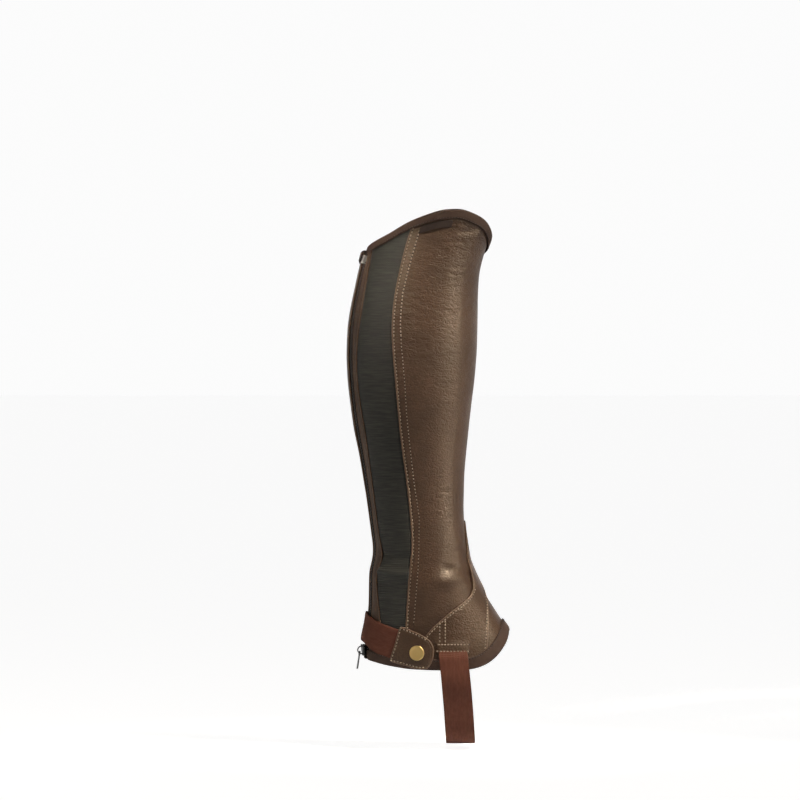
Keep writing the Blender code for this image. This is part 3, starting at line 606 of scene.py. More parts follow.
def tint(material, factor, first, second):
    """A colour between two, by a factor; each is a colour or a socket."""
    node = add(material, "Mix", data_type="RGBA")
    wire(material, factor, node, "Factor")
    for socket, colour in (("A", first), ("B", second)):
        place = [item for item in node.inputs if item.name == socket and item.type == "RGBA"][0]
        if isinstance(colour, tuple):
            place.default_value = (*colour, 1.0)
        else:
            material.node_tree.links.new(colour, place)
    return [item for item in node.outputs if item.type == "RGBA"][0]


# %% Brown leather
LEATHER_BROWN = (0.092, 0.054, 0.036)
# darker tone: random patches, and painted shade in the hollows between the grain's pebbles
LEATHER_DEEP = (0.048, 0.027, 0.018)
# pale edge colour: partly wear, partly a painted highlight on the rolled edge
LEATHER_WORN_AND_LIT = (0.180, 0.112, 0.076)
LEATHER_GLEAM = (1.0, 0.84, 0.66, 1.0)
SMOOTH_BELOW = -110.0
CREASED_ABOVE = 20.0
CREASED_LEAST = 0.35
GRAIN_STIR = 0.8


def grained_leather(name, grain_size, grain_height, wrinkle_height, swell_height):
    leather, shader = new_material(name, LEATHER_BROWN, 0.36)
    shader.inputs["Specular IOR Level"].default_value = 0.62
    shader.inputs["Specular Tint"].default_value = LEATHER_GLEAM
    place = own_place(leather)
    squeezed = laid_on(leather, place, "Mapping", {"Scale": (1.0, 1.0, 2.4)}).outputs["Vector"]

    stir = laid_on(leather, place, "TexNoise", {"Scale": 350.0, "Detail": 1.0})
    shift = add(leather, "VectorMath", operation="SCALE")
    shift.inputs["Scale"].default_value = grain_size * MM * GRAIN_STIR
    wire(leather, stir.outputs["Color"], shift, 0)
    stirred = add(leather, "VectorMath", operation="ADD")
    wire(leather, place, stirred, 0)
    wire(leather, shift.outputs["Vector"], stirred, 1)
    cells = {"Scale": 1.0 / (grain_size * MM)}
    pebbles = laid_on(
        leather, stirred.outputs["Vector"], "TexVoronoi", cells, feature="SMOOTH_F1"
    )
    pebble = spread(leather, pebbles.outputs["Distance"], 0.1, 0.75, 1.0, 0.0)

    folds = laid_on(
        leather, squeezed, "TexNoise", {"Scale": 120.0, "Detail": 2.5, "Distortion": 0.6}
    )
    centred = add(leather, "Math", {1: 0.5}, operation="SUBTRACT")
    wire(leather, folds.outputs["Fac"], centred, 0)
    size = add(leather, "Math", operation="ABSOLUTE")
    wire(leather, centred.outputs[0], size, 0)
    wrinkle = spread(leather, size.outputs[0], 0.0, 0.09)
    swells = laid_on(leather, squeezed, "TexNoise", {"Scale": 75.0, "Detail": 2.0})

    patches = laid_on(leather, place, "TexNoise", {"Scale": 26.0, "Detail": 3.0}).outputs["Fac"]
    patched = spread(leather, patches, 0.3, 0.7)
    brown = tint(leather, patched, LEATHER_DEEP, LEATHER_BROWN)
    # painted shade: the colour darkens between the pebbles, where the grain bump sinks
    shaded = tint(leather, pebble, LEATHER_DEEP, brown)
    # the pale edge is partly wear and partly a painted highlight where the rolled edge catches
    # light
    wear_and_highlight = add(leather, "Attribute", attribute_name="edge_wear_and_highlight")
    worn_and_lit = spread(leather, wear_and_highlight.outputs["Fac"], 0.1, 1.0, 0.0, 0.65)
    wire(leather, tint(leather, worn_and_lit, shaded, LEATHER_WORN_AND_LIT), shader, "Base Color")
    wire(leather, spread(leather, patches, 0.3, 0.7, 0.46, 0.38), shader, "Roughness")

    height = laid_on(leather, place, "SeparateXYZ").outputs["Z"]
    creased = spread(
        leather, height, SMOOTH_BELOW * MM, CREASED_ABOVE * MM, CREASED_LEAST, 1.0
    )
    swollen = product(leather, swells.outputs["Fac"], creased)
    wrinkled = product(leather, wrinkle, creased)
    low = raise_by(leather, shader, swollen, swell_height, 0.7)
    middle = raise_by(leather, shader, wrinkled, wrinkle_height, 0.7, low)
    raise_by(leather, shader, pebble, grain_height, 0.7, middle)
    return leather


leg_leather = grained_leather("leg_leather", 1.2, 0.10, 0.24, 1.4)
foot_leather = grained_leather("foot_leather", 1.5, 0.2, 0.3, 1.2)
trim_leather = grained_leather("trim_leather", 1.2, 0.08, 0.05, 0.4)
print("leather finishes:", leg_leather.name, foot_leather.name, trim_leather.name)

# %% [markdown]
# ## The leg's leather
#
# One large panel goes from the gore round the shin and the inner side to the zip.
# Its border along the zip is drawn back a little, so that the teeth show between the two
# leather edges. A few extra loops just inside the border give the turned edge enough
# faces. They are made with Inset before the copy is rounded.


# %% Main panel
def inset_border(shape, outward, widths):
    faces = [
        face for face in shape.faces
        if face.normal.dot(outward(face.calc_center_median())) > FACES_OUT
    ]
    for width in widths:
        bmesh.ops.inset_region(shape, faces=faces, thickness=width * MM, use_even_offset=True)


REAR = -30.0 * MM


def is_rear(place):
    return place.x < REAR


# how far the leather is drawn back from the zip, and each row of stitches from its edge
ZIP_OPENED = 2.4
GORE_ROW_INSET = 2.3
ZIP_ROW_INSET = 2.6
TO_GORE = (-1.0, 0.0, 0.0)
TO_ZIP = (0.3, -1.0, 0.0)
LEG_SWELL = 0.35

main_shape = solid_copy("main_panel")
grow_border(main_shape, TO_ZIP, -ZIP_OPENED, is_rear)


def leg_border(facing, inset, rear):
    line = border_line(main_shape, facing, inset)
    return [place for place in line if is_rear(place) == rear]


gore_side = leg_border(TO_GORE, 0.0, False)
zip_side = leg_border(TO_ZIP, 0.0, True)
gore_row = leg_border(TO_GORE, GORE_ROW_INSET, False)
zip_row = leg_border(TO_ZIP, ZIP_ROW_INSET, True)
inset_border(main_shape, out_of_leg, (1.0, 1.0, 1.1))
main_mesh = rounded_mesh(main_shape, "leg_panel", 2)
deepest_crease = push_creases(main_mesh, ANKLE_CREASES + CALF_CREASES, LEG_SWELL)
print("deepest crease:", deepest_crease, "mm")
roll_edges(main_mesh, [gore_side, zip_side], 0.35, 0.35, GORE_ROW_INSET)
main_piece = keep_piece(main_mesh, "main_panel", leg_leather)

# %% [markdown]
# ## Foot panels, instep and facing
#
# The two shaped panels over the ankle lie on the leg's leather, so their edges cast a
# small shadow. Where the stirrup strap comes out of a foot panel, its sewn end lifts
# the leather into a low step. The facing is the narrow strip between the gore and the
# zip, and the instep piece fills the gap between the two foot panels.

# %% Step over the stirrup strap's sewn end
STEP_BACK = 23.5
STEP_FRONT = 53.0
STEP_BOTTOM = -300.2
STEP_TOP = -286.0
STEP_RISE = 1.9


def ease(value, low, high):
    part = min(1.0, max(0.0, (value - low) / (high - low)))
    return part * part * (3.0 - 2.0 * part)


def step_rise(place):
    forward = place.x / MM
    height = place.z / MM
    past_back = ease(forward, STEP_BACK - 1.5, STEP_BACK + 1.0)
    past_front = ease(forward, STEP_FRONT - 1.0, STEP_FRONT + 1.5)
    past_bottom = ease(height, STEP_BOTTOM - 0.7, STEP_BOTTOM)
    past_top = ease(height, STEP_BOTTOM + 3.0, STEP_TOP)
    return STEP_RISE * (past_back * (1.0 - past_front)) * past_bottom * (1.0 - past_top)


# %% Foot panels
# how much closer the panel lies to the leg, and its upper point more so, in mm
PANEL_SNUG = 0.5
APEX_SNUG = 0.8
APEX_FROM = -240.0
APEX_TO = -208.0
PANEL_SWELL = 0.25
PANEL_SWELL_WAY = (30.0, 30.0, 50.0)
PANEL_ROW_INSET = 2.3


def make_foot_panel(node, name, side):
    """The outer one has side -1 and the inner one has side 1."""
    shape = solid_copy(node)
    to_back = (-0.7, 0.0, 0.7)
    to_front = (0.8, -side * 0.5, 0.1)
    back_edge = border_line(shape, to_back, 0.0, least=0.2)
    front_edge = border_line(shape, to_front, 0.0, least=0.3)
    back_row = border_line(shape, to_back, PANEL_ROW_INSET, least=0.2)
    front_row = border_line(shape, to_front, 2.4, least=0.3)
    mesh = rounded_mesh(shape, name, 3)
    for vert in mesh.vertices:
        soft = PANEL_SWELL * noise(vert.co * Vector(PANEL_SWELL_WAY))
        snug = PANEL_SNUG + APEX_SNUG * ease(vert.co.z / MM, APEX_FROM, APEX_TO)
        vert.co = vert.co + out_of_leg(vert.co) * (soft + step_rise(vert.co) - snug) * MM
    roll_edges(mesh, [back_edge, front_edge], 0.25, 0.35, PANEL_ROW_INSET)
    piece = keep_piece(mesh, node, foot_leather)
    return piece, back_row, front_row


outer_foot, outer_back_row, outer_front_row = make_foot_panel(
    "foot_panel_outer", "ankle_panel_outer", -1.0
)
inner_foot, inner_back_row, inner_front_row = make_foot_panel(
    "foot_panel_inner", "ankle_panel_inner", 1.0
)

# %% Instep piece and zip facing
instep_mesh = rounded_mesh(solid_copy("instep_piece"), "instep", 2)
instep_mesh.attributes.new("edge_wear_and_highlight", "FLOAT", "POINT")
instep_piece = keep_piece(instep_mesh, "instep_piece", foot_leather)

FACING_TO_ZIP = (-0.3, 0.95, 0.0)
FACING_TO_GORE = (0.6, -0.8, 0.0)
facing_shape = solid_copy("zip_facing")
grow_border(facing_shape, FACING_TO_ZIP, -ZIP_OPENED)
facing_gore_edge = border_line(facing_shape, FACING_TO_GORE, 0.0)
facing_zip_edge = border_line(facing_shape, FACING_TO_ZIP, 0.0)
facing_gore_row = border_line(facing_shape, FACING_TO_GORE, 1.7)
inset_border(facing_shape, out_of_leg, (0.8, 0.8))
facing_mesh = rounded_mesh(facing_shape, "zip_edge", 2)
roll_edges(facing_mesh, [facing_gore_edge, facing_zip_edge], 0.3, 0.3, 1.9)
facing_piece = keep_piece(facing_mesh, "zip_facing", leg_leather)

# %% [markdown]
# ## The gore
#
# The gore is black elastic with fine ribs that run across it. The ribs are real: the
# long edges of the copy are cut many times, and the new rows are pushed out and in.
# Their size wanders, because the elastic is gathered more in some places.

# %% Black ribbed elastic
RIB_PITCH = 2.1
RIB_RISE = 0.16
RIB_CHANGE = 0.12
RIB_CUTS = 11
# height, half the height, rise of the folds that the bent ankle makes in the gore, in mm
GORE_FOLDS = ((-210.0, 5.0, -1.0), (-226.0, 3.4, 1.6), (-238.0, 5.0, -0.6), (62.0, 7.0, -0.5))
# the folds fall towards the front from the gore's middle turn, in mm for each degree
GORE_MIDDLE = 70.0
FOLD_FALL = 0.08


def black_elastic():
    elastic, shader = new_material("black_elastic", (0.016, 0.016, 0.013), 0.62)
    flat = laid_on(elastic, own_place(elastic), "Mapping", {"Scale": (1.0, 1.0, 22.0)})
    fine = {"Scale": 60.0, "Detail": 5.0, "Roughness": 0.65}
    threads = laid_on(elastic, flat.outputs["Vector"], "TexNoise", fine)
    # painted highlight: the threads are paler where the same noise raises them in the bump
    thread_highlight = spread(elastic, threads.outputs["Fac"], 0.35, 0.75)
    highlighted_threads = tint(elastic, thread_highlight, (0.010, 0.010, 0.008), (0.040, 0.039, 0.030))
    wire(elastic, highlighted_threads, shader, "Base Color")
    shader.inputs["Sheen Weight"].default_value = 0.08
    shader.inputs["Sheen Roughness"].default_value = 0.45
    raise_by(elastic, shader, threads.outputs["Fac"], 0.3, 0.6)
    return elastic


gore_shape = solid_copy("gore")
grow_border(gore_shape, (1.0, -0.6, 0.0), 1.3)
grow_border(gore_shape, (-1.0, 0.6, 0.0), 1.1)
gore_rough = rounded_mesh(gore_shape, "gore_rough_grid", 1)
gore_fine = bmesh.new()
gore_fine.from_mesh(gore_rough)
long_edges = [
    edge for edge in gore_fine.edges
    if abs((edge.verts[0].co - edge.verts[1].co).normalized().z) > 0.8
]
bmesh.ops.subdivide_edges(gore_fine, edges=long_edges, cuts=RIB_CUTS, use_grid_fill=True)
gore_fine.normal_update()
for vert in gore_fine.verts:
    outward = out_of_leg(vert.co)
    height = vert.co.z / MM
    turn = turn_of(vert.co)
    fallen = (turn - GORE_MIDDLE) * FOLD_FALL
    rise = 0.0
    for middle, half_height, fold in GORE_FOLDS:
        rise += fold * math.exp(-(((height - middle + fallen) / half_height) ** 2))
    if vert.normal.dot(outward) > 0.4:
        wander = noise(Vector((turn * 0.03, height * 0.05, 2.0)))
        size = RIB_RISE + RIB_CHANGE * noise(Vector((turn * 0.06, height * 0.02, 7.0)))
        rise += size * math.sin(2.0 * math.pi * height / RIB_PITCH + 5.0 * wander)
    vert.co = vert.co + outward * rise * MM
gore_mesh = bpy.data.meshes.new("gore_ribs")
gore_fine.to_mesh(gore_mesh)
gore_fine.free()
gore_piece = keep_piece(gore_mesh, "gore", black_elastic())

# %% [markdown]
# ## Bindings
#
# The rim and the hem are bound with a woven strip folded over the edge. The weave is
# fine, so it is left to the material, and only the fold's round form is in the mesh.


# %% Woven binding
def woven_tape(name, colour, pale, thread_size):
    """A plain weave: two sets of ridges across each other, on the place itself."""
    tape, shader = new_material(name, colour, 0.75)
    shader.inputs["Specular IOR Level"].default_value = 0.3
    place = own_place(tape)
    threads = {"Scale": 1.0 / (thread_size * MM * math.pi), "Distortion": 0.6, "Detail": 1.0}
    ridges = [
        laid_on(tape, place, "TexWave", threads, bands_direction=direction).outputs["Fac"]
        for direction in ("Z", "DIAGONAL")
    ]
    weave = product(tape, *ridges)
    fluff = laid_on(tape, place, "TexNoise", {"Scale": 180.0, "Detail": 3.0})
    wire(tape, tint(tape, fluff.outputs["Fac"], colour, pale), shader, "Base Color")
    raise_by(tape, shader, weave, 0.12, 0.6)
    return tape


def under_the_top(shape, drop, step=6.0):
    """Places a little under the top of a band, one for each few degrees round the leg."""
    tops = {}
    for vert in shape.verts:
        number = int(turn_of(vert.co) // step)
        if number not in tops or vert.co.z > tops[number].z:
            tops[number] = vert.co.copy()
    return [tops[number] - Vector((0.0, 0.0, drop * MM)) for number in sorted(tops)]


binding_weave = woven_tape("binding_weave", (0.042, 0.023, 0.016), (0.068, 0.040, 0.029), 0.7)
label_weave = woven_tape("label_weave", (0.022, 0.013, 0.010), (0.040, 0.025, 0.020), 0.5)

# %% Bind the rim and the hem
rim_shape = solid_copy("top_binding")
rim_row = border_line(rim_shape, (0.0, 0.0, -1.0), 1.6, turn_of, 0.4, 2.0)
rim_mesh = rounded_mesh(rim_shape, "rim_binding", 2)
rim_piece = keep_piece(rim_mesh, "top_binding", binding_weave)
hem_shape = solid_copy("hem_binding")
hem_row = under_the_top(hem_shape, 2.0)
hem_mesh = rounded_mesh(hem_shape, "hem_strip", 2)
hem_piece = keep_piece(hem_mesh, "hem_binding", binding_weave)
label_mesh = rounded_mesh(solid_copy("label"), "bare_label", 2)
label_piece = keep_piece(label_mesh, "label", label_weave)

# %% [markdown]
# ## Elastic straps
#
# The straps are reddish-brown elastic tape, woven with ribs along their length. The
# ribs have to follow each strap, so the straps get a UV map in metres: U runs along the
# strap and V across it. It is worked out from the place of each point.

# %% Brown elastic
# turn (minus on the inner side), height of the heel strap's middle
HEEL_STRAP_MIDDLE = (
    (-90.0, -290.0), (-45.0, -283.0), (0.0, -276.0), (30.0, -284.0), (70.0, -295.5),
)
METRES_A_DEGREE = 0.00082


def heel_strap_place(place):
    turn = (turn_of(place) + 180.0) % 360.0 - 180.0
    for lower, upper in zip(HEEL_STRAP_MIDDLE, HEEL_STRAP_MIDDLE[1:]):
        if turn <= upper[0]:
            break
    part = (turn - lower[0]) / (upper[0] - lower[0])
    middle = lower[1] + (upper[1] - lower[1]) * part
    return turn * METRES_A_DEGREE, place.z - middle * MM


def stirrup_place(place):
    return -place.z - abs(place.y), place.x


def map_strap(mesh, place_of):
    layer = mesh.uv_layers.new(name="strap")
    for loop in mesh.loops:
        layer.data[loop.index].uv = place_of(mesh.vertices[loop.vertex_index].co)


def brown_elastic(name, base, lit):
    elastic, shader = new_material(name, base, 0.8)
    shader.inputs["Specular IOR Level"].default_value = 0.3
    along = add(elastic, "UVMap", uv_map="strap").outputs["UV"]
    ribs = laid_on(
        elastic, along, "TexWave", {"Scale": 210.0, "Distortion": 0.3}, bands_direction="Y"
    )
    picks = laid_on(
        elastic, along, "TexWave", {"Scale": 290.0, "Distortion": 0.8}, bands_direction="X"
    )
    weave = product(elastic, ribs.outputs["Fac"], picks.outputs["Fac"])
    stretch = laid_on(elastic, along, "Mapping", {"Scale": (1.0, 3.0, 1.0)})
    rough = {"Scale": 130.0, "Detail": 6.0, "Roughness": 0.7}
    slubs = laid_on(elastic, stretch.outputs["Vector"], "TexNoise", rough)
    colour = tint(elastic, spread(elastic, slubs.outputs["Fac"], 0.3, 0.7), base, lit)
    wire(elastic, colour, shader, "Base Color")
    raise_by(elastic, shader, weave, 0.12, 0.6)
    return elastic


strap_elastic = brown_elastic("strap_elastic", (0.094, 0.029, 0.015), (0.124, 0.042, 0.025))

# %% Heel strap and stirrup strap
heel_mesh = rounded_mesh(solid_copy("heel_strap"), "heel_elastic", 2)
map_strap(heel_mesh, heel_strap_place)
heel_piece = keep_piece(heel_mesh, "heel_strap", strap_elastic)

stirrup_shape = solid_copy("stirrup_strap")
grow_border(stirrup_shape, (0.0, 0.0, 1.0), 4.0)
inset_border(stirrup_shape, out_of_stirrup, (0.9,))
stirrup_mesh = rounded_mesh(stirrup_shape, "stirrup_elastic", 2)
map_strap(stirrup_mesh, stirrup_place)
stirrup_piece = keep_piece(stirrup_mesh, "stirrup_strap", strap_elastic)

# %% [markdown]
# ## Snap tab and press stud
#
# The heel strap ends in a rounded leather tab with a brass press stud. The cap is
# turned metal, so half its outline is spun round its axis: a shallow dished top inside
# a rolled rim.

# %% Snap tab
TAB_MIDDLE = Vector((4.0, 0.0, -297.0)) * MM
TAB_ROW_INSET = 2.2
# the tab's round end has no stitches between these angles round its middle, in radians
UNSEWN_FROM = -1.15
UNSEWN_TO = 0.75


def round_the_tab(place):
    return math.atan2(place.z - TAB_MIDDLE.z, place.x - TAB_MIDDLE.x)


def tab_border(inset):
    return border_line(tab_shape, (0.0, 0.0, 1.0), inset, round_the_tab, -2.0)


tab_shape = solid_copy("snap_tab")
tab_edge = tab_border(0.0)
tab_row = [
    place for place in tab_border(TAB_ROW_INSET)
    if not UNSEWN_FROM < round_the_tab(place) < UNSEWN_TO
]
tab_row.sort(key=lambda place: round_the_tab(place) % (2.0 * math.pi))
tab_mesh = rounded_mesh(tab_shape, "stud_tab", 3)
roll_edges(tab_mesh, [tab_edge + tab_edge[:1]], 0.25, 0.3, TAB_ROW_INSET)
tab_piece = keep_piece(tab_mesh, "snap_tab", trim_leather)

# %% Brass cap
# distance from the axis, height above the tab, in mm
CAP_OUTLINE = (
    (0.0, 1.75), (3.0, 1.7), (5.0, 1.62), (5.7, 1.75), (6.3, 1.95),
    (6.8, 1.7), (7.1, 1.1), (7.1, 0.45), (6.7, 0.0), (0.0, 0.0),
)
cap_solid = solid_copy("snap_cap")
cap_middle = sum((vert.co for vert in cap_solid.verts), Vector()) / len(cap_solid.verts)
towards_leg = -out_of_leg(cap_middle)
flat_faces = [face for face in cap_solid.faces if face.normal.dot(towards_leg) > 0.9]
cap_axis = -sum((face.normal * face.calc_area() for face in flat_faces), Vector()).normalized()
back_verts = list(dict.fromkeys(vert for face in flat_faces for vert in face.verts))
cap_foot = sum((vert.co for vert in back_verts), Vector()) / len(back_verts)
cap_turned = bmesh.new()
outline = [cap_turned.verts.new((radius * MM, 0.0, height * MM)) for radius, height in CAP_OUTLINE]
outline_edges = [cap_turned.edges.new(pair) for pair in zip(outline, outline[1:])]
bmesh.ops.spin(
    cap_turned,
    geom=outline + outline_edges,
    cent=(0.0, 0.0, 0.0),
    axis=(0.0, 0.0, 1.0),
    angle=2.0 * math.pi,
    steps=48,
    use_merge=True,
)
bmesh.ops.remove_doubles(cap_turned, verts=cap_turned.verts, dist=0.005 * MM)
bmesh.ops.recalc_face_normals(cap_turned, faces=cap_turned.faces)
cap_place = cap_axis.to_track_quat("Z", "Y").to_matrix().to_4x4()
cap_place.translation = cap_foot
bmesh.ops.transform(cap_turned, matrix=cap_place, verts=cap_turned.verts)
cap_mesh = bpy.data.meshes.new("brass_cap")
cap_turned.to_mesh(cap_mesh)
cap_turned.free()
cap_solid.free()


def satin_brass():
    brass, shader = new_material("satin_brass", (0.80, 0.58, 0.23), 0.45, 1.0)
    marks = laid_on(brass, own_place(brass), "TexNoise", {"Scale": 900.0, "Detail": 3.0})
    wire(brass, spread(brass, marks.outputs["Fac"], 0.3, 0.7, 0.42, 0.48), shader, "Roughness")
    tarnish = tint(brass, marks.outputs["Fac"], (0.76, 0.54, 0.20), (0.84, 0.61, 0.26))
    wire(brass, tarnish, shader, "Base Color")
    return brass


keep_piece(cap_mesh, "snap_cap", satin_brass())
print("the cap faces", [round(value, 2) for value in cap_axis])

# %% [markdown]
# ## The zip
#
# The zip is closed. Its two tapes lie behind the leather and are widened until they meet
# behind the teeth, so no light comes through. A tooth is a small block, and teeth from
# the left and the right tape alternate down one line. Hundreds of them are joined in one
# mesh, so each has few faces.

# %% Zip tapes
tape_weave = woven_tape("tape_weave", (0.022, 0.015, 0.012), (0.040, 0.028, 0.022), 0.6)
TO_INNER = (-0.3, 0.95, 0.0)
TO_OUTER = (0.3, -0.95, 0.0)


def make_tape(shape, name, node):
    return keep_piece(rounded_mesh(shape, name, 1), node, tape_weave)


outer_tape_shape = solid_copy("zip_tape_outer")
teeth_line = border_line(outer_tape_shape, TO_INNER, 0.1)
grow_border(outer_tape_shape, TO_INNER, 0.4)
outer_tape = make_tape(outer_tape_shape, "outer_tape", "zip_tape_outer")
inner_tape_shape = solid_copy("zip_tape_inner")
grow_border(inner_tape_shape, TO_OUTER, 0.9)
inner_tape = make_tape(inner_tape_shape, "inner_tape", "zip_tape_inner")

# %% Zip teeth
TOOTH_PITCH = 1.35
TOOTH_SIZE = (2.7, 0.85, 1.6)
TOOTH_SHIFT = 0.75
TOOTH_LIFT = 1.3
TEETH_FROM = -293.0
TEETH_TO = 74.0
teeth_line = [place for place in teeth_line if TEETH_FROM < place.z / MM < TEETH_TO]
teeth_shape = bmesh.new()
teeth_places = evenly(teeth_line, TOOTH_PITCH * MM)
for number, place in enumerate(teeth_places):
    before = teeth_places[max(number - 1, 0)]
    after = teeth_places[min(number + 1, len(teeth_places) - 1)]
    along = (after - before).normalized()
    outward = out_of_leg(place)
    across = along.cross(outward).normalized()
    outward = across.cross(along).normalized()
    side = 1.0 if number % 2 else -1.0
    middle = place + across * side * TOOTH_SHIFT * MM + outward * TOOTH_LIFT * MM
    turned = Matrix((across, along, outward)).transposed().to_4x4()
    turned.translation = middle
    sized = turned @ Matrix.Diagonal((*(value * MM for value in TOOTH_SIZE), 1.0))
    bmesh.ops.create_cube(teeth_shape, size=1.0, matrix=sized)
bmesh.ops.recalc_face_normals(teeth_shape, faces=teeth_shape.faces)
bmesh.ops.bevel(
    teeth_shape,
    geom=teeth_shape.edges,
    offset=0.22 * MM,
    segments=1,
    profile=0.5,
    affect="EDGES",
    material=-1,
)
teeth_mesh = bpy.data.meshes.new("zip_teeth")
teeth_shape.to_mesh(teeth_mesh)
teeth_shape.free()


def speckled(name, colour, roughness, scale, shades, lift=0.0, strength=0.5):
    """A finish whose colour wanders between two shades, with a low bump if it has a lift."""
    material, shader = new_material(name, colour, roughness)
    marks = laid_on(material, own_place(material), "TexNoise", {"Scale": scale, "Detail": 2.0})
    wire(material, tint(material, marks.outputs["Fac"], *shades), shader, "Base Color")
    if lift:
        raise_by(material, shader, marks.outputs["Fac"], lift, strength)
    return material


dark_nylon = speckled(
    "dark_nylon", (0.045, 0.034, 0.026), 0.38, 400.0,
    ((0.030, 0.023, 0.018), (0.080, 0.062, 0.048)),
)
keep_piece(teeth_mesh, None, dark_nylon)
print("teeth:", len(teeth_places))

# %% Slider, pull and top box
def black_paint():
    paint, shader = new_material("black_paint", (0.010, 0.010, 0.011), 0.22, 0.35)
    shader.inputs["Coat Weight"].default_value = 0.5
    marks = laid_on(paint, own_place(paint), "TexNoise", {"Scale": 700.0, "Detail": 2.0})
    wire(paint, spread(paint, marks.outputs["Fac"], 0.35, 0.65, 0.18, 0.32), shader, "Roughness")
    raise_by(paint, shader, marks.outputs["Fac"], 0.03, 0.4)
    return paint


slider_paint = black_paint()
grey_plastic = speckled(
    "grey_plastic", (0.30, 0.29, 0.28), 0.45, 500.0,
    ((0.24, 0.235, 0.23), (0.36, 0.35, 0.34)), 0.05, 0.3,
)
hard_pieces = {"zip_slider": slider_paint, "zip_pull": slider_paint, "zip_box": grey_plastic}
for node, material in hard_pieces.items():
    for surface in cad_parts[node].material_slots:
        surface.material = material
print("hard pieces:", list(hard_pieces))

# %% [markdown]
# ## Sewing
#
# Every seam is sewn with tan thread. One stitch is a small flattened ball, pressed
# halfway into the leather, with a flat dark patch at its end: painted shade where the
# needle hole is. The rows come from the borders, or, where a row does not follow an edge,
# from a short table read from the side. Each stitch is then set on the nearest place of
# the finished surface.

# %% Finished surfaces
def surface_of(*pieces):
    cloth = bmesh.new()
    for piece in pieces:
        cloth.from_mesh(piece.data)
    tree = BVHTree.FromBMesh(cloth)
    cloth.free()
    return tree


leather_surface = surface_of(main_piece, outer_foot, inner_foot, instep_piece, facing_piece)
binding_surface = surface_of(rim_piece, hem_piece)
tab_surface = surface_of(tab_piece)


OUTER_SIDE = -1.0
INNER_SIDE = 1.0
FROM_SIDE = 0.3


def seen_from(side, rows):
    """Places on one side of the leather, from forward places and heights in mm."""
    line = []
    for forward, height in rows:
        start = Vector((forward * MM, side * FROM_SIDE, height * MM))
        line.append(leather_surface.ray_cast(start, Vector((0.0, -side, 0.0)))[0])
    return line


# %% Thread
tan_thread = speckled(
    "tan_thread", (0.30, 0.225, 0.16), 0.6, 1500.0,
    ((0.22, 0.16, 0.11), (0.38, 0.29, 0.205)), 0.06,
)
brown_thread = speckled(
    "brown_thread", (0.035, 0.021, 0.015), 0.6, 1500.0,
    ((0.024, 0.014, 0.010), (0.05, 0.032, 0.024)), 0.06,
)
# painted shade: the colour of the flat dark patch that stands for each needle hole
hole_shadow = speckled(
    "hole_shadow", (0.012, 0.008, 0.006), 0.9, 800.0,
    ((0.008, 0.005, 0.004), (0.02, 0.014, 0.01)),
)
print("threads:", tan_thread.name, brown_thread.name)


# %% Sew a row
def ball(segments, rings):
    """A small round mesh whose poles point along X."""
    shape = bmesh.new()
    bmesh.ops.create_uvsphere(
        shape,
        u_segments=segments,
        v_segments=rings,
        radius=0.5,
        matrix=Matrix.Rotation(math.pi / 2.0, 4, "Y"),
    )
    mesh = bpy.data.meshes.new("ball")
    shape.to_mesh(mesh)
    shape.free()
    return mesh


def press_ball(shape, mesh, place, along, outward, size):
    """Adds a ball of a size (along the row, across it, out of it) in mm."""
    across = outward.cross(along).normalized()
    along = across.cross(outward).normalized()
    turned = Matrix((along, across, outward)).transposed().to_4x4()
    turned.translation = place
    stitch = mesh.copy()
    stitch.transform(turned @ Matrix.Diagonal((*(value * MM for value in size), 1.0)))
    shape.from_mesh(stitch)
    bpy.data.meshes.remove(stitch)


THREAD_BALL = ball(6, 4)
HOLE_BALL = ball(6, 3)
# sizes along the row, across it and out of it, in mm
STITCH = (2.4, 1.1, 0.8)
HOLE = (1.3, 1.1, 0.25)
STITCH_PROUD = 0.08
NEEDLE_REACH = 12.0


def sew(name, surface, lines, pitch=3.3, size=STITCH, hole=HOLE, thread=tan_thread):
    thread_shape = bmesh.new()
    hole_shape = bmesh.new()
    count = 0
    for line in lines:
        places = evenly(line, pitch * MM)
        for number, place in enumerate(places):
            before = places[max(number - 1, 0)]
            after = places[min(number + 1, len(places) - 1)]
            outward = out_of_leg(place)
            near, normal, _, _ = surface.ray_cast(place + outward * NEEDLE_REACH * MM, -outward)
            if near is None:
                near, normal, _, _ = surface.find_nearest(place)
            along = (after - before).normalized()
            proud = near + normal * STITCH_PROUD * MM
            press_ball(thread_shape, THREAD_BALL, proud, along, normal, size)
            # a flat dark patch of painted shade where the needle hole is
            needle = near + along * pitch * 0.5 * MM
            press_ball(hole_shape, HOLE_BALL, needle, along, normal, hole)
            count += 1
    for shape, ending, material in (
        (thread_shape, "_thread", thread), (hole_shape, "_hole_shade", hole_shadow)
    ):
        mesh = bpy.data.meshes.new(name + ending)
        shape.to_mesh(mesh)
        shape.free()
        keep_piece(mesh, None, material)
    print(name, count, "stitches")


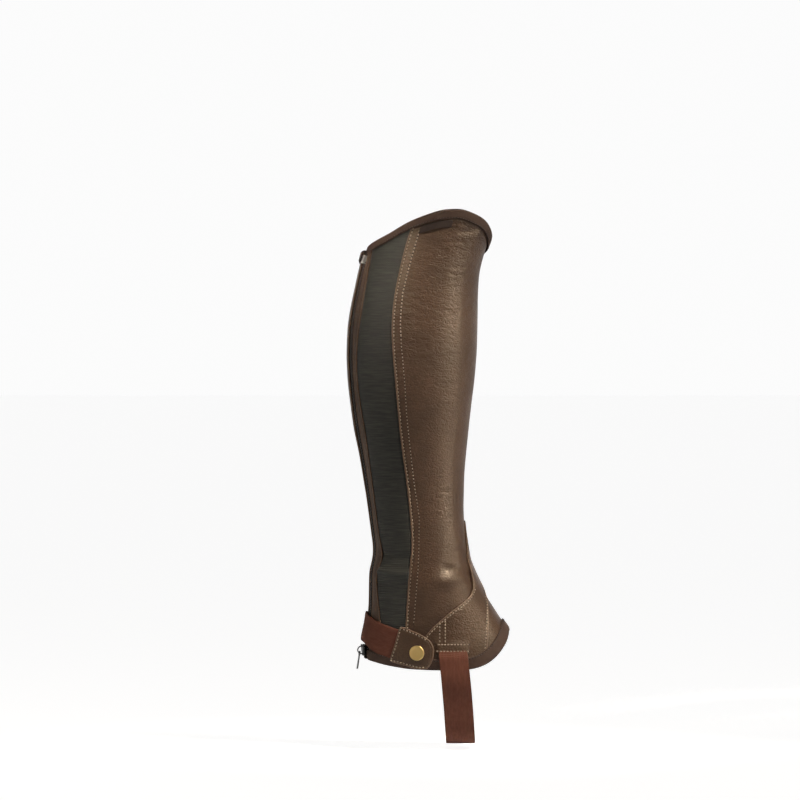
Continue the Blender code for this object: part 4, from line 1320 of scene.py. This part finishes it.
# %% Rows on the leg
# forward place, height of the second row in front of the gore, in mm
SECOND_ROW = (
    (6.7, 98.0), (1.5, 80.2), (-4.2, 59.5), (-8.8, 39.9), (-10.5, 22.8), (-11.1, 11.4),
    (-10.0, -11.9), (-8.8, -23.4), (-6.7, -48.0), (-5.4, -72.2), (-2.9, -97.7),
    (-0.6, -118.3), (1.9, -140.0), (6.7, -171.6), (6.4, -200.0), (5.6, -221.4),
    (4.3, -237.5), (2.9, -254.6), (1.6, -270.8),
)
# below this height the thread is pulled deeper into the leather
SUNK_BELOW = 0.0
second_row = seen_from(OUTER_SIDE, SECOND_ROW)
gore_rows = [evenly(row, 1.0 * MM) for row in (gore_row, second_row)]
proud_rows = [[place for place in row if place.z > SUNK_BELOW] for row in gore_rows]
sunk_rows = [[place for place in row if place.z <= SUNK_BELOW] for row in gore_rows]
sew("gore_seam", leather_surface, proud_rows, size=(2.2, 1.3, 1.0), hole=(1.8, 1.8, 0.3))
sew("sunk_seam", leather_surface, sunk_rows, size=(1.5, 0.9, 0.6))
zip_rows = [facing_gore_row, zip_row]
sew("zip_seam", leather_surface, zip_rows, size=(2.2, 0.8, 0.6), thread=brown_thread)

# %% Rows on the foot panels
# forward place, height of the rows that hold the straps' ends, in mm
STRAP_BOX = (
    ((26.0, -272.0), (26.0, -288.5)),
    ((31.2, -270.0), (31.2, -288.5)),
    ((25.0, -291.7), (52.3, -291.7)),
    ((23.8, -298.0), (52.5, -298.0)),
)
BACK_ROW_TOP = -238.0
FRONT_ROW_TOP = -224.0


def below(height, *rows):
    return [[place for place in row if place.z < height * MM] for row in rows]


back_rows = below(BACK_ROW_TOP, outer_back_row, inner_back_row)
front_rows = below(FRONT_ROW_TOP, outer_front_row, inner_front_row)
boxes = [seen_from(side, rows) for side in (OUTER_SIDE, INNER_SIDE) for rows in STRAP_BOX]
sew("ankle_seam", leather_surface, back_rows + front_rows)
sew("strap_boxes", leather_surface, boxes, pitch=3.1, size=(2.4, 1.3, 1.1))

# %% Rows on the bindings and the tab
binding_rows = [rim_row, hem_row]
BINDING_STITCH = (1.8, 0.6, 0.55)
sew("binding_seam", binding_surface, binding_rows, 2.8, BINDING_STITCH, thread=brown_thread)
sew("tab_seam", tab_surface, [tab_row], pitch=3.2, size=(2.3, 1.2, 0.9))
